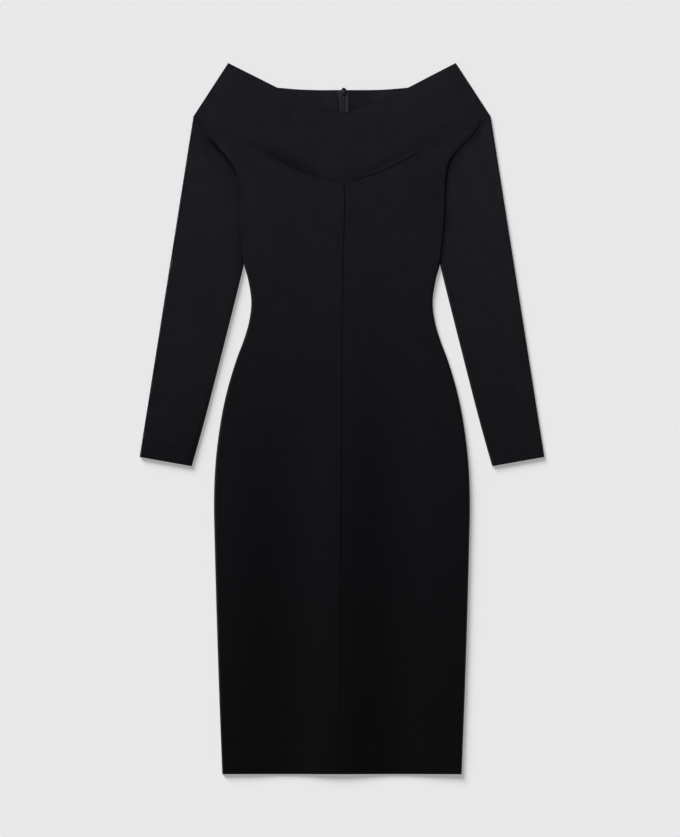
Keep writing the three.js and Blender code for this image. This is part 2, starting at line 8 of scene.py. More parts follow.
import bpy
import numpy as np
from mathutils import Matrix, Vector


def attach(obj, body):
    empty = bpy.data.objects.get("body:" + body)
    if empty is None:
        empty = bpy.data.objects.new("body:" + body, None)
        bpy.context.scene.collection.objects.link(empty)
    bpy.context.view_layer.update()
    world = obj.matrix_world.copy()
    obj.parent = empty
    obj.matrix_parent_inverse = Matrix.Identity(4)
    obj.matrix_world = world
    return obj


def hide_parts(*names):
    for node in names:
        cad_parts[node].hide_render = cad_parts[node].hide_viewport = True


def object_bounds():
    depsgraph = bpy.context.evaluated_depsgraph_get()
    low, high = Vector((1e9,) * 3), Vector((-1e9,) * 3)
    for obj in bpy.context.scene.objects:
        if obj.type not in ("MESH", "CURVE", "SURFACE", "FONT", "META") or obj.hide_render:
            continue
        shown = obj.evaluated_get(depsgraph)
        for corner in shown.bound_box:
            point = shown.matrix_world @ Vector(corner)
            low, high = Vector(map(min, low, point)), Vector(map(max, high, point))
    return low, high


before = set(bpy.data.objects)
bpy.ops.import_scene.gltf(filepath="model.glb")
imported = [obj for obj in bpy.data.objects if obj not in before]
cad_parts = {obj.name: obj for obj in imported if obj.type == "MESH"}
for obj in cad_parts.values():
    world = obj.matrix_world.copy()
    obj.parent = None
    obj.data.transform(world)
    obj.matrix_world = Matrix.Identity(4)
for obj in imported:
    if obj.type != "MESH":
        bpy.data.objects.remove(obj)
CAD_LOW, CAD_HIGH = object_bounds()

MM = 0.001
LENGTH = (CAD_HIGH.y - CAD_LOW.y) / MM  # hem to the band's shoulder peaks

# Cloth
WALL = 1.5  # one layer of the double knit
BAND_WALL = 2.4  # the band is folded double
PRESSED_WALL = 1.1  # the front band at its pressed edges
TURN_UP = 0.9  # added inside by the hem's and cuff's turn-up
TURN_UP_DEPTH = 30
SEAM = 0.3  # between layers that lie on each other
MEETING = 0.06  # pieces that are sewn together reach this far past their seam
SEAM_ROUNDING = 1.6  # the cloth turns down into a seam over this
SEAM_FACE_ROUNDING = 0.4  # and over this on the side that faces the light
FOLD_ROUNDING = 1.1  # radius of a folded edge
NECK_FOLD_ROUNDING = 0.6
FOLD_SHARE = 0.9  # how far the two faces close at a folded edge

# Plan of the body, the sleeves and the band
PEAK_OUT = 195.6  # centre to a shoulder peak
CORNER_OUT = 255.6  # centre to the band's outer corner, where the sleeve's fold starts
ARMHOLE_OUT = 241  # centre to where the armhole seam meets the band
FAN_UP = 876  # the sleeve meets the body here, and the panels' rows start to turn
ARMHOLE_MEETS_BAND_UP = 1123.2

# Height above the hem and half width of the body, then out along the armhole to the band
BODY_EDGE = [
    (0, 205.9), (190, 213), (400, 219), (475, 220.1), (540, 217), (608, 208.3), (660, 197.3),
    (712, 181.8), (746, 169), (778, 159.8), (812, 156), (850, 161.4), (FAN_UP, 168.4), (925, 174.5),
    (978, 178), (1012, 179.5), (1040, 183), (1062, 192), (1082, 209), (1098, 226),
    (ARMHOLE_MEETS_BAND_UP, ARMHOLE_OUT),
]
# Height above the hem and distance out of the sleeve's inner edge, where it hangs clear
SLEEVE_INNER = [(529.2, 258.2), (580, 243.7), (643, 226.9), (832, 179.1), (FAN_UP, 168.4)]
CUFF_INNER_UP = SLEEVE_INNER[0][0]
CUFF_OUTER_UP, CUFF_OUTER_OUT = 545.1, 348.1
# Distance out and height above the hem of the band's seams and the neck edge of the back
FRONT_SEAM = [
    (0, 1014.6), (30, 1023.8), (69, 1036.8), (100, 1051.4), (150, 1076.9), (CORNER_OUT, 1130.6),
]
BACK_SEAM = [
    (0, 1064), (60, 1065), (110, 1069), (143, 1077.6), (180, 1092.6), (CORNER_OUT, 1130.6),
]
BACK_NECK_TUCK = 112  # the back's neck edge passes under the front band this far out
BACK_NECK_DROP = 1  # and stays this far below the front's edge from there
BACK_NECK = [(0, 1176), (45, 1176.2), (75, 1177.2), (100, 1179.2), (BACK_NECK_TUCK, 1180.3)]
BAND_STRAIGHT = 24  # this near the centre the band's columns run straight up
# Height above the hem and how far the hand-laid centre line strays to the right
CENTRE_LINE = [
    (0, -2.6), (370, -0.9), (640, 0), (875, 1.7), (975, 5), (1030, 3.4), (LENGTH, 3),
]

# Lie of the cloth
FRONT_LEVEL = 5.9  # upper face of the front
BAND_LEVEL = 6.4
FOLD_FADE = 0.25  # share of a fold's length over which each end fades out
ROLL_FULLNESS = 0.75  # of a rounded edge: 0.5 is a quarter ellipse, 1 a parabola
EDGE_LIFT = 0.6  # the back curls up to a side seam
EDGE_LIFT_WIDTH = 6
BACK_EDGE_WIDTH = 14  # the creases of the back fade out over this width
BACK_CREASE_INSIDE = 0.6  # share of them that also shows on the inner face
# Between these heights the closed folds of the sleeve and the body open into the armhole seam. On the
# left they are pressed so flat together that the change shows lower down.
ARMHOLE_OPENS = {-1: (880, 912), 1: (962, 1002)}
NECK_RADIUS = 44  # the front band rolls down to its neck edge over this
BAND_FOLD_RADIUS = 9  # and to its outer ends over this
PRESSED_WIDTH = 30  # and is pressed thinner over this
BAND_SEAM_DIP = 1.15  # it rolls down into its lower seam by this much
BAND_SEAM_DIP_WIDTH, BAND_SEAM_DIP_SOFT_WIDTH = 6, 36  # where the seam shows and where it doesn't
YOKE_DIP, YOKE_DIP_WIDTH = 0.7, 80  # the front sinks this much up to the band
SLEEVE_LEVEL = {-1: 6.1, 1: 5.3}  # upper face of the left and right sleeve
SLEEVE_RADIUS = 4.5  # width of its rolled folds
SLEEVE_SAG = {-1: -0.5, 1: 0.6}  # the left sleeve bulges a little and the right one sags
SLEEVE_CREASES_FADE = 12  # its creases fade out this near its folds
ARMHOLE_STEP = 0.4  # it lies this much lower where it is sewn in
SLEEVE_MAP_LENGTH = 600  # its length in the map that carries the knit

# Long folds of the front, at x_hem by the hem and x_top by the neck. Ridges are positive.
Fold = namedtuple("Fold", "x_hem x_top start end width rise")
FOLDS = [
    Fold(-4, 16, -200, 780, 44, 2.1),  # centre seam ridge
    Fold(4, 4, 700, 1300, 40, 0.6),  # centre seam ridge of the bodice
    Fold(-92, -84, -200, 690, 48, -1.9),  # left skirt trough
    Fold(92, 84, -200, 800, 50, -2.1),  # right skirt trough
    Fold(-180, -180, 60, 660, 40, 1.4),  # left hip swell
    Fold(250, 238, -200, 700, 78, 3.0),  # right hip swell
    Fold(-105, -105, 840, 1120, 48, 0.45),  # left bust swell
    Fold(108, 108, 830, 1120, 46, 0.5),  # right bust swell
    Fold(-60, -60, 760, 960, 32, -0.3),  # left midriff trough
    Fold(98, 94, 700, 1000, 54, -0.8),  # right midriff trough
]

# Short soft creases of the upper faces: a middle, the way it runs from +X, its half length and half
# width, and its rise. They are uneven, as cloth smoothed out by hand is.
Crease = namedtuple("Crease", "x up turn reach width rise")
CREASES = [Crease(*row) for row in [
    # Band
    (-88, 1057, -27, 34, 7, -0.7), (-40, 1036, -22, 26, 5, -0.45), (78, 1050, 27, 46, 4, -0.45),
    (-150, 1135, -36, 46, 11, -0.25), (-120, 1150, -30, 52, 10, 0.22), (148, 1130, 33, 42, 10, -0.25),
    (118, 1158, 28, 50, 12, 0.2),
    # Armholes and right shoulder
    (211, 1095, 55, 30, 8, 0.8), (224, 1162, 58, 44, 14, 0.5), (-172.5, 1063, 80, 9, 2.2, -0.4),
    (-160, 1052, 55, 20, 6, 0.22), (168, 998, 84, 28, 12, -1.0), (150, 1030, 50, 24, 7, 0.2),
    (-160, 984, -82, 28, 9, -0.25),
    # Waist and hips
    (-118, 806, 12, 30, 6, -0.22), (-112, 792, 9, 34, 6, 0.18), (122, 822, -14, 28, 5, -0.24),
    (114, 808, -10, 32, 6, 0.18), (-168, 640, 62, 44, 9, -0.2), (172, 622, -64, 52, 10, -0.22),
    # Skirt and hem
    (-36, 40, 86, 60, 14, 0.35), (-112, 60, 84, 74, 18, -0.3), (58, 34, 95, 48, 13, 0.25),
    (112, 70, 98, 84, 15, -0.35), (-48, 330, 82, 90, 16, -0.15), (118, 400, 96, 110, 18, -0.18),
    # Left sleeve
    (-262, 815, -24, 30, 7, -0.35), (-258, 798, -18, 32, 7, 0.25), (-232, 842, -32, 18, 5, -0.25),
    (-296, 668, 76, 80, 13, -0.3), (-226, 968, 72, 70, 12, -0.35), (-316, 572, 78, 34, 10, 0.2),
    # Right sleeve
    (256, 828, 26, 26, 6, -0.32), (262, 808, 20, 34, 8, 0.24), (236, 792, 30, 16, 5, -0.22),
    (292, 680, -75, 86, 12, -0.28), (230, 985, -70, 76, 14, -0.3), (306, 578, -78, 30, 11, 0.2),
]]

# Creases of the underside, which the surface presses nearly flat: two by two on the left and right,
# the seat, the waist, the small of the back, the skirt and the shoulders
BACK_CREASES = [Crease(*row) for row in [
    (-92, 590, 8, 60, 8, 0.25), (84, 572, -10, 66, 9, 0.28),
    (-70, 812, 4, 52, 6, 0.3), (78, 826, -6, 46, 7, 0.26),
    (-46, 862, 10, 34, 6, 0.22), (52, 874, -12, 38, 6, 0.24),
    (-128, 320, 86, 150, 10, 0.22), (120, 250, 95, 170, 11, 0.24),
    (-120, 1010, 60, 44, 8, 0.2), (126, 1000, -58, 48, 8, 0.22),
]]

# How wide the front curls down to its side seam, at heights above the hem, on the left and right
EDGE_ROLLS = {
    -1: [(0, 4), (FAN_UP - 20, 5), (FAN_UP + 20, 1.2), (ARMHOLE_MEETS_BAND_UP, 1)],
    1: [(0, 3.5), (FAN_UP - 20, 5), (FAN_UP + 20, 4), (ARMHOLE_MEETS_BAND_UP, 3)],
}

# As it lies, the left armhole seam bulges outwards by this much between these heights
LEFT_BULGE = 9
BULGE_FOOT_UP, BULGE_MIDDLE_UP, BULGE_TOP_UP = 1026, 1072, 1116

# Cloth falls away beside the armhole seam: how deep and how wide, at heights above the hem
Dip = namedtuple("Dip", "up deep wide")
WIDE = 2  # the column of the widths, also in the table of shades
SLEEVE_DIPS = {
    -1: [
        Dip(876, 0, 40), Dip(960, 0.6, 46), Dip(1000, 1.2, 46), Dip(1024, 1.6, 44),
        Dip(1042, 2.2, 42), Dip(1092, 2.4, 42), Dip(1101, 0.9, 40), Dip(1123, 0.5, 30),
    ],
    1: [Dip(876, 0.9, 90), Dip(1040, 1.1, 110), Dip(1088, 1.0, 110), Dip(1120, 0.4, 90)],
}
FRONT_DIPS = {
    -1: [
        Dip(876, 0.6, 50), Dip(960, 0.7, 50), Dip(1020, 1.1, 44), Dip(1084, 0.8, 30),
        Dip(1100, 0.3, 20),
    ],
    1: [Dip(978, 0.9, 5), Dip(1036, 1.2, 5), Dip(1064, 1.8, 9), Dip(1090, 1.5, 8), Dip(1120, 0.7, 5)],
}

# How clearly each seam shows, from 0 to 1: the share of its thickness that the cloth turns down there
ARMHOLE_SHOWS = {
    -1: [(876, 0.05), (1024, 0.05), (1040, 0.7), (1088, 0.7), (1097, 0.05), (1123, 0.02)],
    1: [(876, 0.75), (1000, 0.8), (1050, 0.9), (1100, 0.9), (1123, 0.7)],
}
BAND_SEAM_SHOWS = [
    (-256, 0.03), (-165, 0.05), (-140, 0.12), (-107, 0.35), (-70, 0.35), (-31, 0.25), (-12, 0.12),
    (12, 0.15), (26, 0.5), (127, 0.5), (140, 0.2), (200, 0.2), (256, 0.1),
]
CENTRE_SHOWS = [(0, 0.3), (110, 0.4), (200, 0.8), (LENGTH, 0.8)]
PLAIN_SHOWS = 0.85
FACING_SHARE = 0.35  # the side of a seam that faces the light turns down by this share of it

# Little light gets into a seam that is pressed open, so shade is painted into the cloth there: how
# dark the painted shade is in it and how far out that reaches, along the seam
Shade = namedtuple("Shade", "at dark wide")
CENTRE_SHADES = [
    Shade(0, 0.1, 1), Shade(100, 0.25, 1), Shade(160, 0.5, 1), Shade(LENGTH, 0.55, 1),
]
BAND_SHADES = [
    Shade(-256, 0, 1), Shade(-162, 0.08, 6), Shade(-142, 0.22, 14), Shade(-105, 0.32, 19),
    Shade(-72, 0.32, 18), Shade(-45, 0.24, 12), Shade(-20, 0.15, 5), Shade(0, 0.08, 1.5),
    Shade(18, 0.1, 1.5), Shade(28, 0.3, 2), Shade(122, 0.3, 2.2), Shade(132, 0.12, 1.5),
    Shade(256, 0.1, 1),
]
ARMHOLE_SHADES = {
    -1: [
        Shade(876, 0.07, 3), Shade(960, 0.08, 10), Shade(1004, 0.13, 20), Shade(1026, 0.13, 20),
        Shade(1038, 0.5, 6), Shade(1056, 0.75, 7.5), Shade(1088, 0.72, 8.5),
        Shade(1097, 0.05, 5), Shade(1123, 0, 2),
    ],
    1: [
        Shade(876, 0.75, 1.6), Shade(1000, 0.72, 2.5), Shade(1030, 0.75, 3.3),
        Shade(1052, 0.75, 3.6), Shade(1078, 0.7, 3.2), Shade(1095, 0.5, 2.2),
        Shade(1123, 0.4, 1.6),
    ],
}
FAR_SIDE_SHADE = 0.4  # on the other side of the seam the painted shade is only this share as wide
PLAIN_SHADES = [Shade(-400, 0.4, 0.8), Shade(400, 0.4, 0.8)]
ZIP_LINE_SHADES = [Shade(0, 0.4, 0.8), Shade(1150, 0.4, 0.8), Shade(1158, 0, 0.8)]
RIM_SHADES = [Shade(-400, 0.4, 0.9), Shade(LENGTH, 0.4, 0.9)]  # and painted shade at the folded outer edges

# Zip in the centre back
ZIP_FOOT_UP = 655
ZIP_TAPE_WALL = 0.6
ZIP_TAPE_WIDTH = 10
ZIP_TAPE_WIDTH_IN_BAND = 5.5  # it fits between the band's inner edges
ZIP_BAND_UP = 1060
ZIP_REBATE = 9.25  # the band's inner layer stops this far from the centre
REBATE_STEPS = np.array([-0.25, 0, 0.08, 0.2, 0.4, 0.7, 1.1])
REBATE_ROUNDING = 0.9
ZIP_LIFT = 1  # the front band rises over the coil
ZIP_LIFT_WIDTH = 14
CHAIN_HALF = 2
TOOTH_PITCH = 1.15
TOOTH_RADIUS = 0.45
TOOTH_SHIFT = 0.35  # alternate teeth reach out this much further on either side
TOOTH_INSET, TOOTH_RAISED = 0.05, 0.3  # short of the chain's width, and above the cloth
TAPE_TOP_GAP = 0.6  # the tapes end this far below the neck edge
TAPE_NARROWS_OVER = 3
TAPE_ROW_STEP = 4
TAPE_COLUMNS = np.array([0, 0.03, 0.08, 0.16, 0.26, 0.38, 0.5, 0.62, 0.74, 0.84, 0.92, 0.97, 1])
# A tape's cord and selvedge: place and width as shares of the tape's width, and rise
TAPE_RIDGES = [(0.1, 0.07, 0.22), (0.9, 0.06, 0.16)]
TAPE_EDGE_ROUNDING = 0.3
TAPE_TILT = {-1: 0.3, 1: 1.2}  # in the band, the outer edges of the tapes stand up by this much
TAPE_UNDER_TILT = 0.8  # share of it that shows underneath
TAPE_SPREAD = {-1: 3, 1: 0.4}  # and their top ends are this much wider
TAPE_SPREAD_FROM, TAPE_SPREAD_TO = 1156, 1172
TAPE_STITCH_OUT = 7.6
STITCHES_FROM, STITCHES_TO = ZIP_FOOT_UP + 3, ZIP_BAND_UP - 4
STITCH_PITCH = 2.6
STITCH_LENGTH = 1.9
STITCH_RADIUS = 0.16
STITCH_RAISED = 0.05
ROD_END = [(0.0, 0.55), (0.5, 0.9), (1.0, 1.0)]  # inset and width of a round end, in radii
STOP_LENGTH, STOP_ROUNDING = 4, 0.5
# Scales and heights of the outlines that make up the stop, and those of the slider's domed plate
STOP_LEVELS = [(0.9, 0), (1, 0.2), (1, 1.5), (0.94, 1.8), (0.78, 2)]
SLIDER_FOOT_UP, SLIDER_NOSE_UP = 1165.8, 1179.9
SLIDER_LEVELS = [
    (0.86, 0), (0.95, 0.12), (1, 0.35), (1, 0.5), (0.98, 0.62), (0.6, 1.66), (0.5, 1.82),
    (0.35, 1.88), (0.1, 1.9),
]
SLIDER_HALF = 5.75
SLIDER_SIDES = 48
SLIDER_BLUNTNESS = 1.25  # 1 is an ellipse, 2 a straight-sided diamond
CORE_FOOT_UP, CORE_ROUNDING = SLIDER_FOOT_UP + 0.7, 0.6
SLIT_HALF, SLIT_FROM, SLIT_TO = 1.1, 1157, 1164.5  # the back's edges part round the bridge
# The cloth of the back rises over the pull tab, fully to LIFT_FULL from the zip and not past LIFT_END
LIFT_HEIGHT, LIFT_FROM, LIFT_TO, LIFT_FULL = 2.7, 1130, 1154, 5
LIFT_END = {-1: 44, 1: 64}
KEEL_HALF, KEEL_BEVEL = 0.7, 0.2
BRIDGE_FOOT_UP, BRIDGE_NOSE_UP, BRIDGE_UNDER, BRIDGE_OVER = 1166.5, 1179, 0.2, 0.9
BRIDGE_ROUNDING, BRIDGE_POINTS = 0.5, 72
WINDOW_FOOT_UP, WINDOW_NOSE_UP, WINDOW_UNDER, WINDOW_TOP = 1168, 1177.2, 0.9, 2.5
WINDOW_ROUNDING = 0.35
PIVOT_UP, PIVOT_Z = 1173.5, 1.7
PULL_BAR, PULL_WALL, PULL_BEVEL = 0.45, 0.8, 0.22
EYE_HALF, EYE_END = 1.2, 7.4
NECK_HALF, NECK_END = 2.1, 8.4
PULL_LENGTH, PULL_HALF, PULL_ROUNDING = 24, 3, 0.5
PULL_POINTS, TAIL_POINTS = 96, 19
PULL_TILT = math.radians(2.8)  # its free end lies just above the surface

# Steps of the meshes. Rows and columns crowd together at the edges, which are finely rounded.
EDGE_STEPS = np.array([0, 0.12, 0.3, 0.55, 0.85, 1.2, 1.6, 2.2, 3.1, 4.2, 5.6, 7.2, 9, 11, 13.5, 16.5])
MIDDLE_COLUMNS = 36
ROW_STEP = 4.5
SLEEVE_ROW_STEP = 3.6
SLEEVE_MIDDLE_COLUMNS = 34
UNDERARM_ANGLES = np.array([1, 8, 15, 22, 30, 40, 52, 64, 77, 90])
FOLD_ANGLES = np.linspace(90, -90, 17)
BAND_COLUMN_STEP = 3.2
BAND_ROW_STEP = 4
SHARP_ANGLE = math.radians(55)  # edges that turn by more than this are shaded sharp

# Materials. Colours come in pairs, between which a material varies.
WALE = 0.95  # width of one column of knit stitches
COURSE = 0.7  # height of one row of them
STITCH_LEAN = 0.5  # in courses
KNIT_SHINE = 0.35
KNIT_ROUGHNESS = (0.6, 0.7)
HERRINGBONE_WIDTH, HERRINGBONE_PITCH = 1.2, 0.6
NAP_SCALE, MOTTLE_SCALE, FIBRE_SCALE, FLOW_SCALE = 1400, 38, 900, 420
KNIT_RELIEF, WEAVE_RELIEF, FLOW_RELIEF = 0.00007, 0.00006, 0.00002
TAPE_COLOURS = (0.02, 0.02, 0.023, 1), (0.045, 0.044, 0.05, 1)
KNIT_COLOURS = (0.0085, 0.0082, 0.0108, 1), (0.0115, 0.0111, 0.0145, 1)
BAND_KNIT_COLOURS = (0.0088, 0.0085, 0.0112, 1), (0.0118, 0.0114, 0.0148, 1)
COIL_COLOURS = (0.055, 0.055, 0.06, 1), (0.08, 0.08, 0.086, 1)
ENAMEL_COLOURS = (0.012, 0.012, 0.013, 1), (0.018, 0.018, 0.02, 1)
THREAD_COLOURS = (0.012, 0.012, 0.014, 1), (0.022, 0.022, 0.025, 1)
WHITE = (1, 1, 1, 1)
UNLIT = (0.0008, 0.0008, 0.001, 1)  # painted shade: the cloth's colour deep in a seam

# Studio. The world is the plain pale grey all round and dim overhead.
BACKGROUND = (0.807, 0.807, 0.807, 1)
CEILING = (0.02, 0.02, 0.021, 1)
CEILING_FROM, CEILING_TO = 0.1, 0.26
FLOOR_HALF = 40
FLOOR_TONE, FLOOR_UNEVEN, FLOOR_GLOW = 0.8, 1.004, 0.42
CAMERA_HEIGHT = 6000
SENSOR = 36

# Lights, in metres and degrees. Those with a radius are spots and the others suns. A light falls on
# the floor alone, or on the pieces whose names start with falls_on.
Light = namedtuple("Light", "name place target energy colour spread radius falls_on")
OVERHEAD, MIDDLE = (-0.6, 0.5, 2.6), (0, 0, 0)
SOFT_COLOUR = (0.97, 0.97, 1.06)
LIGHTS = [
    Light("window", (-2.5, 3.7, 2.1), MIDDLE, 4.05, (1, 1, 1), 30, 0, "floor"),
    Light("side_light", (-4, 0.8, 0.74), MIDDLE, 1.36, (1, 0.98, 1), 6, 0, ""),
    Light("pool", (-0.35, 1.0, 3), (0, 0.9, 0), 77, (0.95, 0.92, 1.14), 47.5, 0.5, ""),
    Light("sleeve_left_light", OVERHEAD, MIDDLE, 0.09, SOFT_COLOUR, 20, 0, "sleeve_left"),
    Light("sleeve_right_light", OVERHEAD, MIDDLE, 0.18, SOFT_COLOUR, 20, 0, "sleeve_right"),
    Light("band_back_left_light", OVERHEAD, MIDDLE, 0.06, SOFT_COLOUR, 20, 0, "band_back_left"),
    Light("band_back_right_light", OVERHEAD, MIDDLE, 0.17, SOFT_COLOUR, 20, 0, "band_back_right"),
    Light("shoulder_pool", (0.9, 0.62, 1), (0.26, 0.57, 0), 2.4, SOFT_COLOUR, 18, 0.1, "band_front"),
]

# The photograph's frame: its width and height in pixels, and a pixel's size on the garment
PHOTO_WIDTH_PX, PHOTO_HEIGHT_PX = 680, 837
PIXEL = 1.72
CENTRE_LINE_PX = 342  # the column in which the dress's middle lies


def smooth(value, low, high):
    """0 below low, 1 above high, and an even curve between."""
    t = np.clip((value - low) / (high - low), 0, 1)
    return t * t * (3 - 2 * t)


def lerp(a, b, t):
    return a + (b - a) * t


def curve_through(points):
    """A smooth curve through points, straight beyond its ends."""
    xs, ys = (np.array(column, float) for column in zip(*points))
    before = np.maximum(np.arange(len(xs)) - 1, 0)
    after = np.minimum(np.arange(len(xs)) + 1, len(xs) - 1)
    slope = (ys[after] - ys[before]) / (xs[after] - xs[before])

    def at(value):
        inside = np.clip(value, xs[0], xs[-1])
        i = np.clip(np.searchsorted(xs, inside, side="right") - 1, 0, len(xs) - 2)
        span = xs[i + 1] - xs[i]
        rise = ys[i + 1] - ys[i]
        t = (inside - xs[i]) / span
        bend = (1 - t) * (slope[i] * span - rise) - t * (slope[i + 1] * span - rise)
        beyond = value - inside
        end_slope = np.where(beyond < 0, slope[0], slope[-1])
        return ys[i] + rise * t + t * (1 - t) * bend + beyond * end_slope

    return at


body_edge = curve_through(BODY_EDGE)
sleeve_inner = curve_through(SLEEVE_INNER)
front_seam = curve_through(FRONT_SEAM)
back_seam = curve_through(BACK_SEAM)
tucked_back_neck = curve_through(BACK_NECK)
centre_line = curve_through(CENTRE_LINE)
BAND_RISE = LENGTH - front_seam(PEAK_OUT)  # the front band's neck edge above its lower seam
ARMHOLE_TOP_UP = front_seam(ARMHOLE_OUT) + MEETING
CORNER_UP = front_seam(CORNER_OUT)


def front_neck(out):
    return front_seam(out) + BAND_RISE


def back_neck(out):
    return np.where(out < BACK_NECK_TUCK, tucked_back_neck(out), front_neck(out) - BACK_NECK_DROP)


def read_at(table, at, column=1):
    """Straight lines between a table's rows, whose first column is the place along a seam."""
    return np.interp(at, [row[0] for row in table], [row[column] for row in table])


def seam_out(side, up):
    """Distance from the centre to the side seam and the armhole seam."""
    if side > 0:
        return body_edge(up)
    rise = smooth(up, BULGE_FOOT_UP, BULGE_MIDDLE_UP)
    rise = rise * (1 - smooth(up, BULGE_MIDDLE_UP, BULGE_TOP_UP))
    return body_edge(up) + LEFT_BULGE * rise


def armhole_open(side, up):
    """0 where the sleeve and the body are closed folds, 1 where the armhole seam joins them."""
    return smooth(up, *ARMHOLE_OPENS[side])


def folds_at(x, up):
    total = np.zeros_like(x)
    for fold in FOLDS:
        across = (x - lerp(fold.x_hem, fold.x_top, up / LENGTH)) / fold.width
        reach = (fold.end - fold.start) * FOLD_FADE
        along = smooth(up, fold.start, fold.start + reach)
        along = along * (1 - smooth(up, fold.end - reach, fold.end))
        total += fold.rise * np.exp(-(across**2)) * along
    return total


def creases_at(creases, x, up):
    total = np.zeros_like(x)
    for crease in creases:
        turn = math.radians(crease.turn)
        dx, dy = x - crease.x, up - crease.up
        along = (dx * math.cos(turn) + dy * math.sin(turn)) / crease.reach
        across = (dy * math.cos(turn) - dx * math.sin(turn)) / crease.width
        total += crease.rise * np.exp(-(along**2) - across**2)
    return total


def dip_at(dips, up, distance):
    """How far the cloth has fallen at a distance from the armhole seam."""
    return read_at(dips, up) * (1 - smooth(distance / read_at(dips, up, WIDE), 0, 1))


def shade_at(shades, at, distance, narrower=1):
    """How dark a seam's painted shade is at a place along it and a distance from it."""
    wide = read_at(shades, at, WIDE) * narrower
    return read_at(shades, at) * np.exp(-((distance / wide) ** 2))


def roll(distance, radius):
    """Rounded profile, 0 at an edge and 1 past its radius."""
    t = np.clip(distance / radius, 0, 1)
    return (1 - (1 - t) ** 2) ** ROLL_FULLNESS


def edge_lift(distance, shut):
    t = np.maximum(1 - distance / EDGE_LIFT_WIDTH, 0)
    return EDGE_LIFT * t * t * shut


def pull_lift(side, from_zip, up):
    """How much the cloth of the back rises over the pull tab."""
    across = 1 - smooth(from_zip, LIFT_FULL, LIFT_END[side])
    return LIFT_HEIGHT * across * smooth(up, LIFT_FROM, LIFT_TO)


def closing(distance, radius):
    """Quarter circle, 1 at an edge and 0 past its radius."""
    t = np.clip(distance / radius, 0, 1)
    return 1 - np.sqrt(1 - (1 - t) ** 2)


def grid_of(x, y, z):
    return np.stack(np.broadcast_arrays(x, y, z), -1).astype(float)


def turn_into_seam(outer, inner, distance, share=PLAIN_SHOWS, side=-1):
    """Turns the outer face down towards the inner one beside a seam, on its left or right."""
    radius = SEAM_ROUNDING if side < 0 else SEAM_FACE_ROUNDING
    share = share if side < 0 else share * FACING_SHARE
    return outer + (inner - outer) * (share * closing(distance, radius))[..., None]


def fold_over(outer, inner, distance, radius=FOLD_ROUNDING):
    """Rounds both faces together at a folded edge."""
    middle = (outer + inner) / 2
    share = (FOLD_SHARE * closing(distance, radius))[..., None]
    return lerp(outer, middle, share), lerp(inner, middle, share)


def spaced(start, end, step):
    """Evenly spaced values between two ends, without the ends."""
    count = max(int(round((end - start) / step)), 2)
    return np.linspace(start, end, count + 1)[1:-1]


def between_edges(low, high, step):
    """Values from low to high, crowded at both."""
    first, last = low + EDGE_STEPS, (high - EDGE_STEPS)[::-1]
    return np.concatenate([first, spaced(first[-1], last[0], step), last])


def mesh_object(name, corners, faces, maps=None):
    """A smooth mesh piece. corners are in millimetres, in the dress's own frame."""
    mesh = bpy.data.meshes.new(name)
    placed = (np.asarray(corners, float) - (0, LENGTH / 2, 0)) * MM
    mesh.from_pydata(placed.tolist(), [], faces)
    mesh.validate()
    at = np.zeros(len(mesh.loops), int)
    mesh.loops.foreach_get("vertex_index", at)
    for key, values in (maps or {}).items():
        layer = mesh.uv_layers.new(name=key)
        layer.data.foreach_set("uv", values[at].ravel())
    mesh.shade_smooth()
    mesh.set_sharp_from_angle(angle=SHARP_ANGLE)
    piece = bpy.data.objects.new(name, mesh)
    bpy.context.scene.collection.objects.link(piece)
    return piece


def turned_out(corners, faces):
    """The faces the right way round, so that they point out of a closed form."""
    corners = np.asarray(corners, float)
    volume = sum(
        np.dot(corners[face[0]], np.cross(corners[face[i]], corners[face[i + 1]]))
        for face in faces
        for i in range(1, len(face) - 1)
    )
    return [face[::-1] for face in faces] if volume < 0 else faces


def shell(name, outer, inner, cut, shade=None):
    """A closed thin piece between its outer and inner faces, which are two grids of points. cut is
    where each point lies on the flat cloth, and shade how much painted shade darkens it."""
    rows, columns = outer.shape[:2]
    grid = rows * columns
    at = np.arange(grid).reshape(rows, columns)
    face = np.stack([at[:-1, :-1], at[:-1, 1:], at[1:, 1:], at[1:, :-1]], -1).reshape(-1, 4)
    ring = np.concatenate([at[0, :-1], at[:-1, -1], at[-1, :0:-1], at[:0:-1, 0]])
    following = np.roll(ring, -1)
    rim = np.stack([following, ring, ring + grid, following + grid], -1)
    faces = np.concatenate([face, face[:, ::-1] + grid, rim])
    corners = np.concatenate([outer.reshape(-1, 3), inner.reshape(-1, 3)])
    a, b, c, d = (corners[faces[:, i]] for i in range(4))
    volume = np.sum(a * np.cross(b, c)) + np.sum(a * np.cross(c, d))
    if volume < 0:
        faces = faces[:, ::-1]
    dark = np.zeros((rows, columns)) if shade is None else shade
    maps = {"cut": cut, "shade": np.stack([dark, dark], -1)}
    maps = {key: np.concatenate([values.reshape(-1, 2)] * 2) for key, values in maps.items()}
    return mesh_object(name, corners, faces.tolist(), maps)


def plan_area(grid):
    """Area of a grid of points as seen from above, in square millimetres."""
    a = (grid[1:, 1:] - grid[:-1, :-1])[..., :2]
    b = (grid[1:, :-1] - grid[:-1, 1:])[..., :2]
    return float(np.sum(np.abs(a[..., 0] * b[..., 1] - a[..., 1] * b[..., 0])) / 2)


# Front and back panels

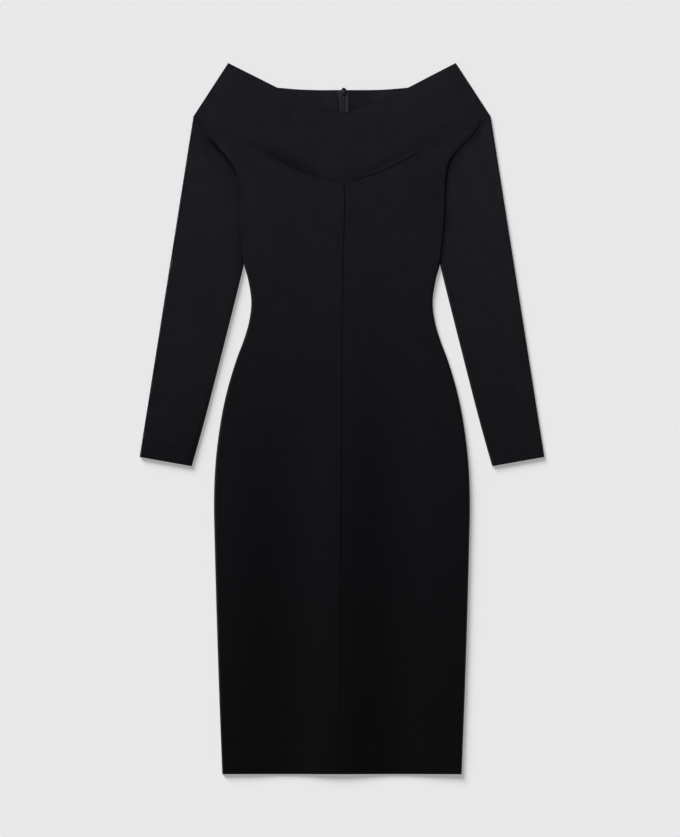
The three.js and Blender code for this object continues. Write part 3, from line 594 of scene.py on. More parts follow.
def body_grid(side, seam):
    """The points of a panel's face in plan, with each one's distances to its edges."""
    ups = between_edges(0, ARMHOLE_TOP_UP, ROW_STEP)[:, None]
    half = seam_out(side, ups)
    near = EDGE_STEPS[None, :]
    first, last = near[:, -1:], half - near[:, -1:]
    middle = lerp(first, last, np.linspace(0, 1, MIDDLE_COLUMNS + 2)[None, 1:-1])
    centre_part = np.broadcast_to(near, (len(ups), near.shape[1]))
    outs = np.concatenate([centre_part, middle, (half - near)[:, ::-1]], axis=1)
    fan = np.clip((ups - FAN_UP) / (ARMHOLE_TOP_UP - FAN_UP), 0, None)
    seam_up = seam(outs / half * ARMHOLE_OUT) + MEETING
    up = np.where(fan > 0, lerp(FAN_UP, seam_up, fan), ups)
    x = side * (outs - MEETING * (1 - outs / half)) + centre_line(up) * (1 - outs / half)
    return {
        "x": x,
        "up": up,
        "edge": half - outs,
        "centre": outs,
        "top": seam_up - up,
        "open": np.broadcast_to(armhole_open(side, ups), outs.shape),
    }


def finish_panel(name, side, grid, outer, inner, band_shades):
    """Rounds a panel's edges and makes it: folded at the hem, and sewn on its other sides."""
    x, up = grid["x"], grid["up"]
    side_seam = lerp(PLAIN_SHOWS, read_at(ARMHOLE_SHOWS[side], up), grid["open"])
    outer = turn_into_seam(outer, inner, grid["centre"], read_at(CENTRE_SHOWS, up), side)
    outer = turn_into_seam(outer, inner, grid["top"], read_at(BAND_SEAM_SHOWS, x), side)
    outer = turn_into_seam(outer, inner, grid["edge"], side_seam, -side)
    # Painted shade: darker cloth along the seams and at the folded hem and side edges
    narrower = FAR_SIDE_SHADE if side < 0 else 1
    armhole = shade_at(ARMHOLE_SHADES[side], up, grid["edge"], narrower)
    shade = np.maximum.reduce([
        np.where(up > FAN_UP, armhole, shade_at(RIM_SHADES, up, grid["edge"])),
        shade_at(CENTRE_SHADES, up, grid["centre"]),
        shade_at(RIM_SHADES, up, up),
        shade_at(band_shades, x, grid["top"], FAR_SIDE_SHADE),
    ])
    outer, inner = fold_over(outer, inner, grid["up"], TURN_UP + FOLD_ROUNDING / 2)
    cut = np.stack([grid["x"], grid["up"]], -1)
    return shell(name, outer, inner, cut, shade)


def turn_up_at(grid):
    step = 1 - smooth(grid["up"], TURN_UP_DEPTH, TURN_UP_DEPTH + 1)
    return TURN_UP * step * smooth(grid["edge"], EDGE_LIFT_WIDTH, EDGE_LIFT_WIDTH + 2)


def front_panel(name, side):
    grid = body_grid(side, front_seam)
    x, up, distance, opened = grid["x"], grid["up"], grid["edge"], grid["open"]
    floor = WALL + edge_lift(distance, 1 - opened) + SEAM
    yoke = YOKE_DIP * (1 - smooth(grid["top"], 0, YOKE_DIP_WIDTH)) * opened
    level = FRONT_LEVEL + folds_at(x, up) + creases_at(CREASES, x, up)
    room = level - yoke - dip_at(FRONT_DIPS[side], up, distance) * opened - 2 * WALL - SEAM
    under = floor + room * lerp(roll(distance, read_at(EDGE_ROLLS[side], up)), 1, opened)
    outer = grid_of(x, up, under + WALL)
    inner = grid_of(x, up, under - turn_up_at(grid))
    return finish_panel(name, side, grid, outer, inner, BAND_SHADES), plan_area(outer)


def back_panel(name, side):
    grid = body_grid(side, back_seam)
    x, up, distance, opened = grid["x"], grid["up"], grid["edge"], grid["open"]
    under = edge_lift(distance, 1 - opened)
    pressed = creases_at(BACK_CREASES, x, up) * roll(distance, BACK_EDGE_WIDTH)
    outer = grid_of(x, up, under + pressed)
    inner = grid_of(x, up, under + pressed * BACK_CREASE_INSIDE + WALL + turn_up_at(grid))
    return finish_panel(name, side, grid, outer, inner, PLAIN_SHADES), plan_area(outer)


# Sleeves

def sleeve_section(side, width, level, wall, opened):
    """A sleeve's section, from the underarm over the front, round the outer fold and back under:
    distances from its inner edge and heights of its outer and inner faces, and what faces up."""
    radius = min(SLEEVE_RADIUS, width / 4)
    middle = level / 2
    sag = SLEEVE_SAG[side] * (TURN_UP + WALL - wall) / TURN_UP
    angle = np.radians(UNDERARM_ANGLES)

    def underarm(facing):
        lip = middle + facing * SEAM / 2
        flat = radius * (1 - np.cos(angle))
        outer_flat = level if facing > 0 else 0
        outer_z = lip + facing * (middle - SEAM / 2) * np.sin(angle)
        inner_z = lip + facing * (middle - SEAM / 2 - wall) * np.sin(angle)
        inner_from = radius - (radius - wall) * np.cos(angle)
        return (
            flat,
            lerp(outer_z, outer_flat, opened),
            lerp(inner_from, flat, opened),
            lerp(inner_z, outer_flat - facing * wall, opened),
        )

    def across(facing):
        shares = (1 - np.cos(np.linspace(0, np.pi, SLEEVE_MIDDLE_COLUMNS + 2)[1:-1])) / 2
        a = lerp(radius, width - radius, shares)
        z = level - sag * np.sin(np.pi * a / width) if facing > 0 else np.zeros_like(a)
        return a, z, a, z - facing * wall

    turn = np.radians(FOLD_ANGLES)
    fold = (
        width - radius + radius * np.cos(turn),
        middle * (1 + np.sin(turn)),
        width - radius + (radius - wall) * np.cos(turn),
        middle + (middle - wall) * np.sin(turn),
    )
    over, under = across(1), [values[::-1] for values in across(-1)]
    closed = [values[::-1] for values in underarm(-1)]
    parts = [underarm(1), over, fold, under, closed]
    facing_up = np.concatenate([
        np.ones(len(UNDERARM_ANGLES) + SLEEVE_MIDDLE_COLUMNS),
        (1 + np.sin(turn)) / 2,
        np.zeros(len(UNDERARM_ANGLES) + SLEEVE_MIDDLE_COLUMNS),
    ])
    return [np.concatenate(values) for values in zip(*parts)] + [facing_up]


def sleeve(name, side):
    outer, inner, cut, from_cuff, from_seam, shows, shade = [], [], [], [], [], [], []
    for inner_up in between_edges(CUFF_INNER_UP, ARMHOLE_TOP_UP, SLEEVE_ROW_STEP):
        joined = inner_up >= FAN_UP
        inner_out = seam_out(side, inner_up) - MEETING if joined else sleeve_inner(inner_up)
        from_edge = inner_up - CUFF_INNER_UP
        along = from_edge / (ARMHOLE_TOP_UP - CUFF_INNER_UP)
        outer_up = lerp(CUFF_OUTER_UP, CORNER_UP + MEETING, along)
        outer_out = lerp(CUFF_OUTER_OUT, CORNER_OUT, along)
        width = math.hypot(outer_out - inner_out, outer_up - inner_up)
        turned = 1 - smooth(from_edge, TURN_UP_DEPTH, TURN_UP_DEPTH + 1)
        opened = armhole_open(side, inner_up)
        level = SLEEVE_LEVEL[side] - ARMHOLE_STEP * opened
        wall = WALL + TURN_UP * turned
        a, z, inner_a, inner_z, facing_up = sleeve_section(side, width, level, wall, opened)
        x = lerp(inner_out, outer_out, a / width) * side
        up = lerp(inner_up, outer_up, a / width)
        inner_x = lerp(inner_out, outer_out, inner_a / width) * side
        inner_y = lerp(inner_up, outer_up, inner_a / width)
        inside = roll(a, SLEEVE_CREASES_FADE) * roll(width - a, SLEEVE_CREASES_FADE)
        shaped = creases_at(CREASES, x, up) * inside
        if joined:
            shaped = shaped - dip_at(SLEEVE_DIPS[side], inner_up, a)
        lowest = 2 * wall + SEAM
        shaped = np.maximum(shaped, np.minimum(lowest - z, 0)) * facing_up
        outer.append(grid_of(x, up, z + shaped))
        inner.append(grid_of(inner_x, inner_y, inner_z + shaped))
        round_way = np.where(facing_up >= 0.5, a, 2 * width - a)
        cut.append(np.stack([round_way - width, np.full_like(a, along * SLEEVE_MAP_LENGTH)], -1))
        from_cuff.append(np.full_like(a, from_edge))
        from_seam.append(np.where(facing_up > 0.5, a, SEAM_ROUNDING))
        shows.append(np.full_like(a, opened * read_at(ARMHOLE_SHOWS[side], inner_up)))
        # Painted shade by the armhole seam and at the folded cuff
        narrower = 1 if side < 0 else FAR_SIDE_SHADE
        dark = shade_at(ARMHOLE_SHADES[side], inner_up, a, narrower)
        rim = shade_at(RIM_SHADES, up, from_edge)
        shade.append(np.where((facing_up > 0.5) & joined, dark, rim))
    outer, inner, cut = (np.stack(part) for part in (outer, inner, cut))
    outer = turn_into_seam(outer, inner, np.stack(from_seam), np.stack(shows), side)
    outer, inner = fold_over(outer, inner, np.stack(from_cuff))
    return shell(name, outer, inner, cut, np.stack(shade)), plan_area(outer)


# Band

def band_grid(side, outs, steps, seam, neck):
    """The points of the band in plan. outs are from the centre and steps are shares of its rise."""
    side, out = np.broadcast_arrays(side, outs)
    share = steps[:, None]
    narrowing = (CORNER_OUT - PEAK_OUT) / (CORNER_OUT - BAND_STRAIGHT)
    neck_out = out - narrowing * np.maximum(out - BAND_STRAIGHT, 0)
    low, high = seam(out), neck(neck_out)
    up = lerp(low, high, share)
    x = side * lerp(out, neck_out, share) + centre_line(up) * np.maximum(1 - out / ARMHOLE_OUT, 0)
    return {
        "x": x,
        "up": up,
        "edge": (CORNER_OUT - out) * lerp(1, 1 - narrowing, share),
        "seam": (high - low) * share,
        "neck": (high - low) * (1 - share),
        "out": np.broadcast_to(out, x.shape),
    }


def band_steps():
    return between_edges(0, BAND_RISE, BAND_ROW_STEP) / BAND_RISE


def front_band(name):
    edges = (CORNER_OUT - EDGE_STEPS)[::-1]
    inside = spaced(-edges[0], edges[0], BAND_COLUMN_STEP)
    across = np.concatenate([-edges[::-1], inside, edges])
    side = np.where(across < 0, -1, 1)
    grid = band_grid(side, np.abs(across), band_steps(), front_seam, front_neck)
    x, up, neck = grid["x"], grid["up"], grid["neck"]
    wall = lerp(PRESSED_WALL, BAND_WALL, smooth(np.minimum(grid["edge"], neck), 0, PRESSED_WIDTH))
    floor = BAND_WALL + edge_lift(grid["edge"], 1) + SEAM
    over_zip = ZIP_LIFT * np.exp(-((grid["out"] / ZIP_LIFT_WIDTH) ** 2))
    shows = read_at(BAND_SEAM_SHOWS, x)
    dip_width = lerp(BAND_SEAM_DIP_SOFT_WIDTH, BAND_SEAM_DIP_WIDTH, shows)
    dip = BAND_SEAM_DIP * (1 - smooth(grid["seam"] / dip_width, 0, 1))
    level = BAND_LEVEL + folds_at(x, up) + creases_at(CREASES, x, up)
    room = level - dip - 2 * BAND_WALL - SEAM
    rolled = roll(grid["edge"], BAND_FOLD_RADIUS) * roll(neck, NECK_RADIUS)
    under = floor + np.maximum(room * rolled, over_zip)
    outer, inner = grid_of(x, up, under + wall), grid_of(x, up, under)
    area = plan_area(outer)
    outer = turn_into_seam(outer, inner, grid["seam"], shows)
    outer = turn_into_seam(outer, inner, grid["edge"])
    outer, inner = fold_over(outer, inner, neck, NECK_FOLD_ROUNDING)
    # Painted shade along the lower seam
    shade = shade_at(BAND_SHADES, x, grid["seam"])
    return shell(name, outer, inner, np.stack([x, up], -1), shade), area


def back_band(name, side):
    near = np.concatenate([EDGE_STEPS[EDGE_STEPS < ZIP_REBATE - 1], ZIP_REBATE + REBATE_STEPS])
    edges = (CORNER_OUT - EDGE_STEPS)[::-1]
    outs = np.concatenate([near, spaced(near[-1], edges[0], BAND_COLUMN_STEP), edges])
    grid = band_grid(side, outs, band_steps(), back_seam, back_neck)
    x, up, out = grid["x"], grid["up"], grid["out"]
    slit = lerp(-MEETING, SLIT_HALF, smooth(up, SLIT_FROM, SLIT_TO))
    x = np.where(out == 0, side * slit + centre_line(up), x)
    step = np.where(out < ZIP_REBATE, 0, 1 - closing(out - ZIP_REBATE, REBATE_ROUNDING))
    under = edge_lift(grid["edge"], 1) + pull_lift(side, out, up)
    inner_face = under + lerp(WALL, BAND_WALL, step)
    pressed = creases_at(BACK_CREASES, x, up) * roll(grid["edge"], BACK_EDGE_WIDTH)
    outer, inner = grid_of(x, up, under + pressed), grid_of(x, up, inner_face)
    area = plan_area(outer)
    outer = turn_into_seam(outer, inner, grid["seam"])
    outer = turn_into_seam(outer, inner, grid["edge"])
    outer = turn_into_seam(outer, inner, out)
    outer, inner = fold_over(outer, inner, grid["neck"])
    # Painted shade along the lower seam and the zip line
    shade = np.maximum(shade_at(PLAIN_SHADES, x, grid["seam"]), shade_at(ZIP_LINE_SHADES, up, out))
    return shell(name, outer, inner, np.stack([x, up], -1), shade), area


# Zip

def zip_tape(name, side):
    """A woven tape with a cord beside the coil and a thicker selvedge."""
    top = back_neck(np.array(0.0)) - TAPE_TOP_GAP
    inside = spaced(ZIP_FOOT_UP - TAPE_ROW_STEP, top + TAPE_ROW_STEP, TAPE_ROW_STEP)
    inside = inside[(inside > ZIP_FOOT_UP) & (inside < top)]
    ups = np.concatenate([[ZIP_FOOT_UP], inside, [top]])[:, None]
    shares = TAPE_COLUMNS[None, :]
    narrow = smooth(ups, ZIP_BAND_UP - TAPE_NARROWS_OVER, ZIP_BAND_UP)
    width = lerp(ZIP_TAPE_WIDTH, ZIP_TAPE_WIDTH_IN_BAND, narrow)
    spread = TAPE_SPREAD[side] * smooth(ups, TAPE_SPREAD_FROM, TAPE_SPREAD_TO)
    out = CHAIN_HALF + SEAM + shares * (width + spread)
    x = side * out + centre_line(ups)
    under = WALL + SEAM + pull_lift(side, out, ups)
    ridges = sum(rise * np.exp(-(((shares - at) / wide) ** 2)) for at, wide, rise in TAPE_RIDGES)
    tilt = TAPE_TILT[side] * shares * narrow
    outer = grid_of(x, ups, under + ZIP_TAPE_WALL + ridges + tilt)
    inner = grid_of(x, ups, under + tilt * TAPE_UNDER_TILT)
    edge = np.minimum(shares, 1 - shares) * width
    outer, inner = fold_over(outer, inner, edge, TAPE_EDGE_ROUNDING)
    cut = np.stack(np.broadcast_arrays(x, ups), -1)
    return shell(name, outer, inner, cut), plan_area(outer)


def stacked_faces(rings, count, first=0):
    """Faces of a closed form of rings of points, bottom to top. first is its first point's number."""
    faces = []
    for ring in range(rings - 1):
        for k in range(count):
            a, b = first + ring * count + k, first + ring * count + (k + 1) % count
            faces.append((a, b, b + count, a + count))
    last = first + (rings - 1) * count
    return faces + [tuple(range(first, first + count))[::-1], tuple(range(last, last + count))]


def joined_rods(name, rods, sides=8):
    """Many short level rods with rounded ends as one mesh. A rod is its two ends and its radius."""
    corners, faces = [], []
    for start, end, radius in rods:
        start, end = np.array(start, float), np.array(end, float)
        axis = (end - start) / np.linalg.norm(end - start)
        across = np.cross(axis, (0, 0, 1))
        other = np.cross(axis, across)
        rings = [(start + axis * radius * inset, width) for inset, width in ROD_END]
        rings += [(end - axis * radius * inset, width) for inset, width in reversed(ROD_END)]
        faces += stacked_faces(len(rings), sides, len(corners))
        for centre, width in rings:
            for k in range(sides):
                turn = 2 * math.pi * k / sides
                towards = math.cos(turn) * across + math.sin(turn) * other
                corners.append(centre + radius * width * towards)
    return mesh_object(name, corners, faces)


def zip_coil(name):
    """The closed coil: rods across the centre line, reaching out in turn to the left and right."""
    rods = []
    foot, top = ZIP_FOOT_UP + STOP_LENGTH + SEAM, SLIDER_FOOT_UP - SEAM
    half = CHAIN_HALF - TOOTH_SHIFT - TOOTH_INSET
    for i, up in enumerate(np.arange(foot + TOOTH_RADIUS, top - TOOTH_RADIUS, TOOTH_PITCH)):
        x = float(centre_line(up)) + (TOOTH_SHIFT if i % 2 else -TOOTH_SHIFT)
        z = WALL + SEAM + TOOTH_RADIUS + TOOTH_RAISED + float(pull_lift(1, 0, up))
        rods.append(((x - half, up, z), (x + half, up, z), TOOTH_RADIUS))
    return joined_rods(name, rods)


def tape_stitches(name, side):
    """The row of stitches that sews a tape to the cloth under it."""
    rods = []
    z = WALL + SEAM + ZIP_TAPE_WALL + STITCH_RAISED
    for up in np.arange(STITCHES_FROM, STITCHES_TO, STITCH_PITCH):
        x = float(centre_line(up)) + side * TAPE_STITCH_OUT
        rods.append(((x, up, z), (x, up + STITCH_LENGTH, z), STITCH_RADIUS))
    return joined_rods(name, rods, sides=6)


def ring_solid(outline, levels):
    """A closed form of outlines stacked up. levels are each one's scale and height, bottom to top."""
    centre = outline.mean(axis=0)
    corners = [(*(centre + (point - centre) * scale), z) for scale, z in levels for point in outline]
    return corners, stacked_faces(len(levels), len(outline))


def resampled(outline, count):
    """Evenly spaced points along a closed outline, from its first point."""
    closed = np.vstack([outline, outline[:1]])
    lengths = np.r_[0, np.cumsum(np.linalg.norm(np.diff(closed, axis=0), axis=1))]
    at = np.linspace(0, lengths[-1], count, endpoint=False)
    return np.stack([np.interp(at, lengths, closed[:, i]) for i in range(2)], -1)


def ring_plate(outer, hole, half, bevel):
    """A plate with one hole and rounded edges: points [along, across, height] and faces."""
    count = len(outer)
    towards = hole - outer
    towards /= np.linalg.norm(towards, axis=1)[:, None]
    soft = 0.3 * bevel
    # Outlines and heights of the upper half, from the outer edge to the hole
    upper = [
        (outer, half - bevel), (outer + towards * soft, half - soft), (outer + towards * bevel, half),
        (hole - towards * bevel, half), (hole - towards * soft, half - soft), (hole, half - bevel),
    ]
    section = upper + [(loop, -height) for loop, height in reversed(upper)]
    corners = [(*point, height) for loop, height in section for point in loop]
    faces = []
    for ring in range(len(section)):
        for k in range(count):
            a, b = ring * count + k, ring * count + (k + 1) % count
            c = ((ring + 1) % len(section)) * count
            faces.append((a, b, c + (k + 1) % count, c + k))
    return np.array(corners), faces


def rounded_rectangle(low, high, radius):
    """Corner points of a rectangle with round corners, from the middle of its top edge."""
    (x0, y0), (x1, y1) = low, high
    points = [((x0 + x1) / 2, y1)]
    corners = [(x0 + radius, y1 - radius, 90), (x0 + radius, y0 + radius, 180)]
    corners += [(x1 - radius, y0 + radius, 270), (x1 - radius, y1 - radius, 0)]
    for x, y, start in corners:
        for step in range(5):
            angle = math.radians(start + step * 22.5)
            points.append((x + radius * math.cos(angle), y + radius * math.sin(angle)))
    return np.array(points)


def joined_solids(name, solids):
    """Several closed forms as one piece."""
    corners, faces = [], []
    for part_corners, part_faces in solids:
        first = len(corners)
        corners.extend(part_corners)
        faces.extend(tuple(first + i for i in face) for face in turned_out(part_corners, part_faces))
    return mesh_object(name, corners, faces)


def zip_stop(name):
    middle = np.array((float(centre_line(ZIP_FOOT_UP)), ZIP_FOOT_UP + STOP_LENGTH / 2))
    reach = np.array((CHAIN_HALF, STOP_LENGTH / 2))
    outline = rounded_rectangle(middle - reach, middle + reach, STOP_ROUNDING)
    levels = [(scale, WALL + SEAM + z) for scale, z in STOP_LEVELS]
    return joined_solids(name, [ring_solid(outline, levels)])


def zip_slider(name):
    """A domed diamond plate, the core that guides the coil, and the bridge that holds the tab."""
    x = float(centre_line(PIVOT_UP))
    foot = WALL + LIFT_HEIGHT + SEAM
    under = foot + ZIP_TAPE_WALL + SEAM
    middle = (SLIDER_FOOT_UP + SLIDER_NOSE_UP) / 2
    reach = (SLIDER_NOSE_UP - SLIDER_FOOT_UP) / 2
    turns = np.linspace(0, 2 * math.pi, SLIDER_SIDES, endpoint=False)

    def blunt(value):
        return np.sign(value) * np.abs(value) ** SLIDER_BLUNTNESS

    across, along = SLIDER_HALF * blunt(np.cos(turns)), reach * blunt(np.sin(turns))
    outline = np.stack([x + across, middle + along], -1)
    plate = ring_solid(outline, [(scale, under + z) for scale, z in SLIDER_LEVELS])
    core_low, core_high = (x - CHAIN_HALF, CORE_FOOT_UP), (x + CHAIN_HALF, BRIDGE_NOSE_UP)
    core = ring_solid(
        rounded_rectangle(core_low, core_high, CORE_ROUNDING),
        [(0.96, foot), (1, foot + 0.2), (1, under + 0.4)],
    )
    outer_high = (BRIDGE_NOSE_UP, under + BRIDGE_OVER)
    outer = rounded_rectangle((BRIDGE_FOOT_UP, BRIDGE_UNDER), outer_high, BRIDGE_ROUNDING)
    window_low, window_high = (WINDOW_FOOT_UP, WINDOW_UNDER), (WINDOW_NOSE_UP, WINDOW_TOP)
    window = rounded_rectangle(window_low, window_high, WINDOW_ROUNDING)
    loops = resampled(outer, BRIDGE_POINTS), resampled(window, BRIDGE_POINTS)
    keel_corners, keel_faces = ring_plate(*loops, KEEL_HALF, KEEL_BEVEL)
    keel = [(x + height, along, z) for along, z, height in keel_corners]
    return joined_solids(name, [plate, core, (keel, keel_faces)])


def pull_tab(name):
    """A flat tab with an eye, its tail a little wider and rounded, turned down onto the surface."""
    shoulder = PULL_HALF - PULL_LENGTH
    tail = [
        (PULL_HALF * math.cos(turn), shoulder + PULL_HALF * math.sin(turn))
        for turn in np.linspace(math.pi, 2 * math.pi, TAIL_POINTS)
    ]
    # Only the middle and the two upper corners of this rectangle are used
    top = rounded_rectangle((-NECK_HALF, -NECK_END), (NECK_HALF, PULL_BAR), PULL_ROUNDING)
    neck_left, neck_right = [(-NECK_HALF, -NECK_END)], [(NECK_HALF, -NECK_END)]
    outline = np.vstack([top[:6], neck_left, tail, neck_right, top[-5:]])
    eye = rounded_rectangle((-EYE_HALF, -EYE_END), (EYE_HALF, -PULL_BAR), PULL_ROUNDING)
    loops = resampled(outline, PULL_POINTS), resampled(eye, PULL_POINTS)
    corners, faces = ring_plate(*loops, PULL_WALL / 2, PULL_BEVEL)
    x, y, z = corners.T
    placed = np.stack([
        x + float(centre_line(PIVOT_UP)),
        PIVOT_UP + y * math.cos(PULL_TILT) - z * math.sin(PULL_TILT),
        PIVOT_Z + y * math.sin(PULL_TILT) + z * math.cos(PULL_TILT),
    ], -1)
    return joined_solids(name, [(placed, faces)])


# Materials

class Shader:
    """The node tree of a material or the world, with short ways to add and link its nodes."""

    def __init__(self, owner, end="Principled BSDF"):
        self.owner = owner
        owner.use_nodes = True
        self.nodes = owner.node_tree.nodes
        self.links = owner.node_tree.links
        self.end = self.nodes[end]

    def add(self, kind, inputs=None, **settings):
        node = self.nodes.new(kind)
        for key, value in settings.items():
            setattr(node, key, value)
        for key, value in (inputs or {}).items():
            if isinstance(value, bpy.types.NodeSocket):
                self.links.new(value, node.inputs[key])
            else:
                node.inputs[key].default_value = value
        return node

    def place(self):
        return self.add("ShaderNodeTexCoord").outputs["Object"]

    def layer(self, name):
        """The two parts of one of a mesh's own maps."""
        place = self.add("ShaderNodeUVMap", uv_map=name).outputs["UV"]
        parts = self.add("ShaderNodeSeparateXYZ", {0: place})
        return parts.outputs["X"], parts.outputs["Y"]

    def math(self, operation, a, b=None):
        inputs = {0: a} if b is None else {0: a, 1: b}
        return self.add("ShaderNodeMath", inputs, operation=operation).outputs[0]

    def noise(self, vector, scale, detail=2.0, roughness=0.5):
        inputs = {"Vector": vector, "Scale": scale, "Detail": detail, "Roughness": roughness}
        return self.add("ShaderNodeTexNoise", inputs).outputs["Fac"]

    def between(self, factor, low, high):
        inputs = {"Value": factor, "From Min": 0.3, "From Max": 0.7, "To Min": low, "To Max": high}
        return self.add("ShaderNodeMapRange", inputs).outputs["Result"]

    def mix(self, factor, first, second):
        inputs = {0: factor, 6: first, 7: second}
        return self.add("ShaderNodeMix", inputs, data_type="RGBA").outputs[2]

    def into(self, key, value):
        self.links.new(value, self.end.inputs[key])

    def plain(self, **values):
        """Sets numbers that are the same all over on the shader's own sockets."""
        for key, value in values.items():
            self.end.inputs[key.replace("_", " ")].default_value = value

    def bump(self, height, distance, strength=1.0):
        inputs = {"Height": height, "Distance": distance, "Strength": strength}
        self.into("Normal", self.add("ShaderNodeBump", inputs).outputs["Normal"])


def knit_material(name, dark, light, roughness):
    """Fine double knit: columns of small slanting stitches, slightly uneven in tone and nap.
    Its shade map paints shade into its colour and reflection.
    """
    shader = Shader(bpy.data.materials.new(name))
    across, along = shader.layer("cut")
    wale = shader.math("MULTIPLY", across, 1 / WALE)
    half = shader.math("ABSOLUTE", shader.math("SUBTRACT", shader.math("FRACT", wale), 0.5))
    leg = shader.math("SINE", shader.math("MULTIPLY", half, 2 * math.pi))
    course = shader.math("MULTIPLY", along, 1 / COURSE)
    leaning = shader.math("ADD", course, shader.math("MULTIPLY", half, 2 * STITCH_LEAN))
    loop = shader.math("COSINE", shader.math("MULTIPLY", leaning, 2 * math.pi))
    loop = shader.math("ADD", shader.math("MULTIPLY", loop, 0.3), 0.7)
    stitch = shader.math("MULTIPLY", leg, loop)
    place = shader.place()
    fuzz = shader.noise(place, NAP_SCALE, 3.0, 0.7)
    mottle = shader.noise(place, MOTTLE_SCALE, 3.0, 0.6)
    height = shader.math("ADD", stitch, shader.math("MULTIPLY", fuzz, 0.8))
    shader.bump(height, KNIT_RELIEF, 0.7)
    tone = shader.math("ADD", shader.math("MULTIPLY", mottle, 0.3), shader.math("MULTIPLY", fuzz, 0.7))
    # Painted shade: the shade map darkens the colour and the reflection towards UNLIT
    shade, _ = shader.layer("shade")
    shader.into("Base Color", shader.mix(shade, shader.mix(tone, dark, light), UNLIT))
    shader.into("Specular Tint", shader.mix(shade, WHITE, UNLIT))
    shader.into("Roughness", shader.between(mottle, *roughness))
    shader.plain(Metallic=0.0, Specular_IOR_Level=KNIT_SHINE, Sheen_Weight=0.05, Sheen_Roughness=0.45)
    shader.plain(Sheen_Tint=(0.8, 0.8, 1.0, 1.0))
    return shader.owner


def tape_material(name):
    """Woven tape: a fine herringbone with a little gloss."""
    shader = Shader(bpy.data.materials.new(name))
    across, along = shader.layer("cut")
    zigzag = shader.math("PINGPONG", across, HERRINGBONE_WIDTH)
    slant = shader.math("ADD", along, zigzag)
    rib = shader.math("SINE", shader.math("MULTIPLY", slant, 2 * math.pi / HERRINGBONE_PITCH))
    fibre = shader.noise(shader.place(), FIBRE_SCALE, 3.0)
    height = shader.math("ADD", rib, shader.math("MULTIPLY", fibre, 0.8))
    shader.bump(height, WEAVE_RELIEF, 0.6)
    shader.into("Base Color", shader.mix(fibre, *TAPE_COLOURS))
    shader.into("Roughness", shader.between(fibre, 0.5, 0.65))
    shader.plain(Specular_IOR_Level=0.5, Sheen_Weight=0.1)
    return shader.owner


def hard_material(name, dark, light, roughness, metallic=0, coat=0):
    """Moulded or enamelled: even colour, faint flow marks and wear in its gloss."""
    shader = Shader(bpy.data.materials.new(name))
    flow = shader.noise(shader.place(), FLOW_SCALE, 3.0)
    shader.bump(flow, FLOW_RELIEF, 0.5)
    shader.into("Base Color", shader.mix(flow, dark, light))
    shader.into("Roughness", shader.between(flow, *roughness))
    shader.plain(Metallic=metallic, Coat_Weight=coat, Coat_Roughness=0.2)
    return shader.owner


def floor_material(name):
    """Plain paint, very slightly uneven, that glows a little as the studio's bounced light does."""
    shader = Shader(bpy.data.materials.new(name))
    first, second = ((tone, tone, tone, 1) for tone in (FLOOR_TONE, FLOOR_TONE * FLOOR_UNEVEN))
    shader.into("Base Color", shader.mix(shader.noise(shader.place(), 3.0), first, second))
    shader.plain(Roughness=1.0, Specular_IOR_Level=0.0)
    shader.plain(Emission_Color=first, Emission_Strength=FLOOR_GLOW)
    return shader.owner


# Camera and light

def add_camera():
    data = bpy.data.cameras.new("camera")
    data.sensor_width = SENSOR
    data.lens = SENSOR * CAMERA_HEIGHT / (PHOTO_HEIGHT_PX * PIXEL)
    data.dof.use_dof = False
    data.clip_end = 100
    camera = bpy.data.objects.new("camera", data)
    camera.location = ((PHOTO_WIDTH_PX / 2 - CENTRE_LINE_PX) * PIXEL * MM, 0, CAMERA_HEIGHT * MM)
    bpy.context.scene.collection.objects.link(camera)
    bpy.context.scene.camera = camera


def add_light(row, things):
    """Adds a light of the table, which falls on some objects alone."""
    data = bpy.data.lights.new(row.name, "SPOT" if row.radius else "SUN")
    data.energy = row.energy
    data.color = row.colour
    if row.radius:
        data.spot_size = math.radians(row.spread)
        data.spot_blend = 1.0
        data.shadow_soft_size = row.radius
    else:
        data.angle = math.radians(row.spread)
    light = bpy.data.objects.new(row.name, data)
    light.location = row.place
    light.rotation_mode = "QUATERNION"
    light.rotation_quaternion = (Vector(row.target) - Vector(row.place)).to_track_quat("-Z", "Y")
    bpy.context.scene.collection.objects.link(light)
    group = bpy.data.collections.new(row.name + "_falls_on")
    for thing in things:
        group.objects.link(thing)
    light.light_linking.receiver_collection = group


def add_world():
    """Pale all round and dim overhead."""
    world = bpy.data.worlds.new("studio")
    bpy.context.scene.world = world
    shader = Shader(world, "Background")
    place = shader.add("ShaderNodeTexCoord").outputs["Generated"]
    height = shader.add("ShaderNodeSeparateXYZ", {0: place}).outputs["Z"]
    inputs = {"Value": height, "From Min": CEILING_FROM, "From Max": CEILING_TO}
    overhead = shader.add("ShaderNodeMapRange", inputs).outputs["Result"]
    shader.into("Color", shader.mix(overhead, BACKGROUND, CEILING))


def add_floor():
    half = FLOOR_HALF
    mesh = bpy.data.meshes.new("floor")
    corners = [(-half, -half, 0), (half, -half, 0), (half, half, 0), (-half, half, 0)]
    mesh.from_pydata(corners, [], [(0, 1, 2, 3)])
    mesh.materials.append(floor_material("floor_paint"))
    floor = bpy.data.objects.new("floor", mesh)
    bpy.context.scene.collection.objects.link(floor)
    return floor


# The dress, piece by piece

add_camera()
bpy.context.scene.view_settings.view_transform = "Standard"

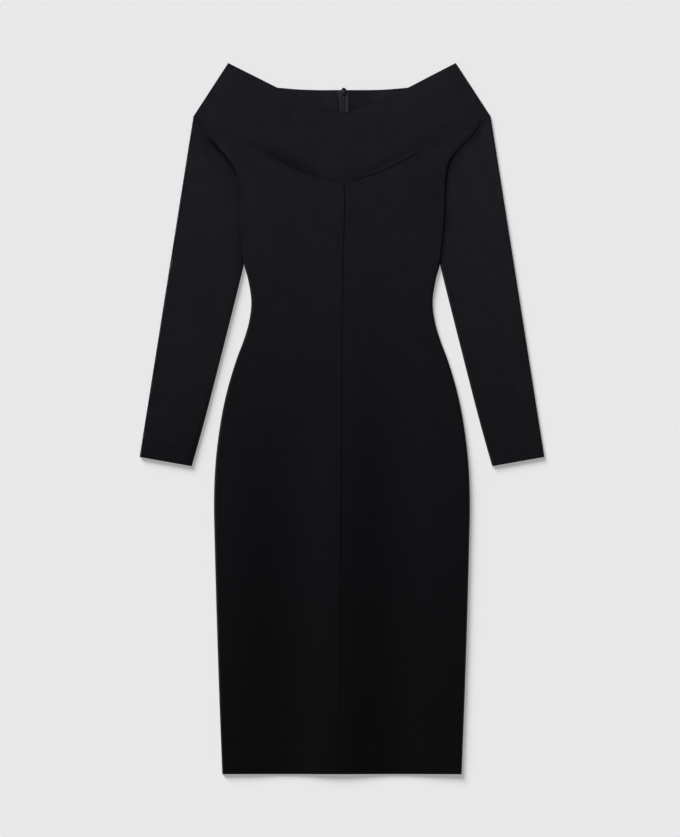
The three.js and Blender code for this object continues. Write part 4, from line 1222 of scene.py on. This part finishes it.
KNIT = knit_material("black_knit", *KNIT_COLOURS, KNIT_ROUGHNESS)
BAND_KNIT = knit_material("black_band_knit", *BAND_KNIT_COLOURS, KNIT_ROUGHNESS)
TAPE = tape_material("zip_tape_weave")
COIL = hard_material("coil_nylon", *COIL_COLOURS, (0.35, 0.5))
ENAMEL = hard_material("black_enamel", *ENAMEL_COLOURS, (0.5, 0.6), 0.2, 0.05)
THREAD = hard_material("black_thread", *THREAD_COLOURS, (0.5, 0.65))

pieces = []


def dress_up(piece, material, body="dress", nodes=()):
    piece.data.materials.append(material)
    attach(piece, body)
    if nodes:
        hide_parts(*nodes)
    pieces.append(piece)
    return piece


SIDES = (("left", -1), ("right", 1))
TURN_UP_AREA = TURN_UP_DEPTH * float(body_edge(0.0))
for word, side in SIDES:
    back, area = back_panel(f"back_{word}_cloth", side)
    dress_up(back, KNIT, nodes=[f"back_{word}"])
    length = float(back_seam(ARMHOLE_OUT)) + TURN_UP_DEPTH
for word, side in SIDES:
    front, area = front_panel(f"front_{word}_cloth", side)
    dress_up(front, KNIT, nodes=[f"front_{word}"])
    length = float(front_seam(ARMHOLE_OUT)) + TURN_UP_DEPTH
for word, side in SIDES:
    arm, area = sleeve(f"sleeve_{word}_cloth", side)
    dress_up(arm, KNIT, nodes=[f"sleeve_{word}"])
for word, side in SIDES:
    band, area = back_band(f"band_back_{word}_cloth", side)
    dress_up(band, BAND_KNIT, nodes=[f"band_back_{word}"])
    LENGTH - float(back_seam(0.0))
band, area = front_band("band_front_cloth")
dress_up(band, BAND_KNIT, nodes=["band_front"])
height = LENGTH - float(front_seam(0.0))
for word, side in SIDES:
    tape, area = zip_tape(f"zip_tape_{word}_weave", side)
    dress_up(tape, TAPE, nodes=[f"zip_tape_{word}"])
    stitches = dress_up(tape_stitches(f"zip_stitches_{word}", side), THREAD)
    length = float(back_neck(np.array(0.0))) - ZIP_FOOT_UP
dress_up(zip_coil("zip_coil_teeth"), COIL, nodes=["zip_chain"])
dress_up(zip_stop("zip_stop_clamp"), ENAMEL, nodes=["zip_stop"])
dress_up(zip_slider("zip_slider_body"), ENAMEL, nodes=["zip_slider"])
dress_up(pull_tab("zip_pull_tab"), ENAMEL, body="pull_tab", nodes=["zip_pull"])

floor = add_floor()
add_world()
for row in LIGHTS:
    lit = [piece for piece in pieces if piece.name.startswith(row.falls_on)]
    add_light(row, [floor] if row.falls_on == "floor" else lit)
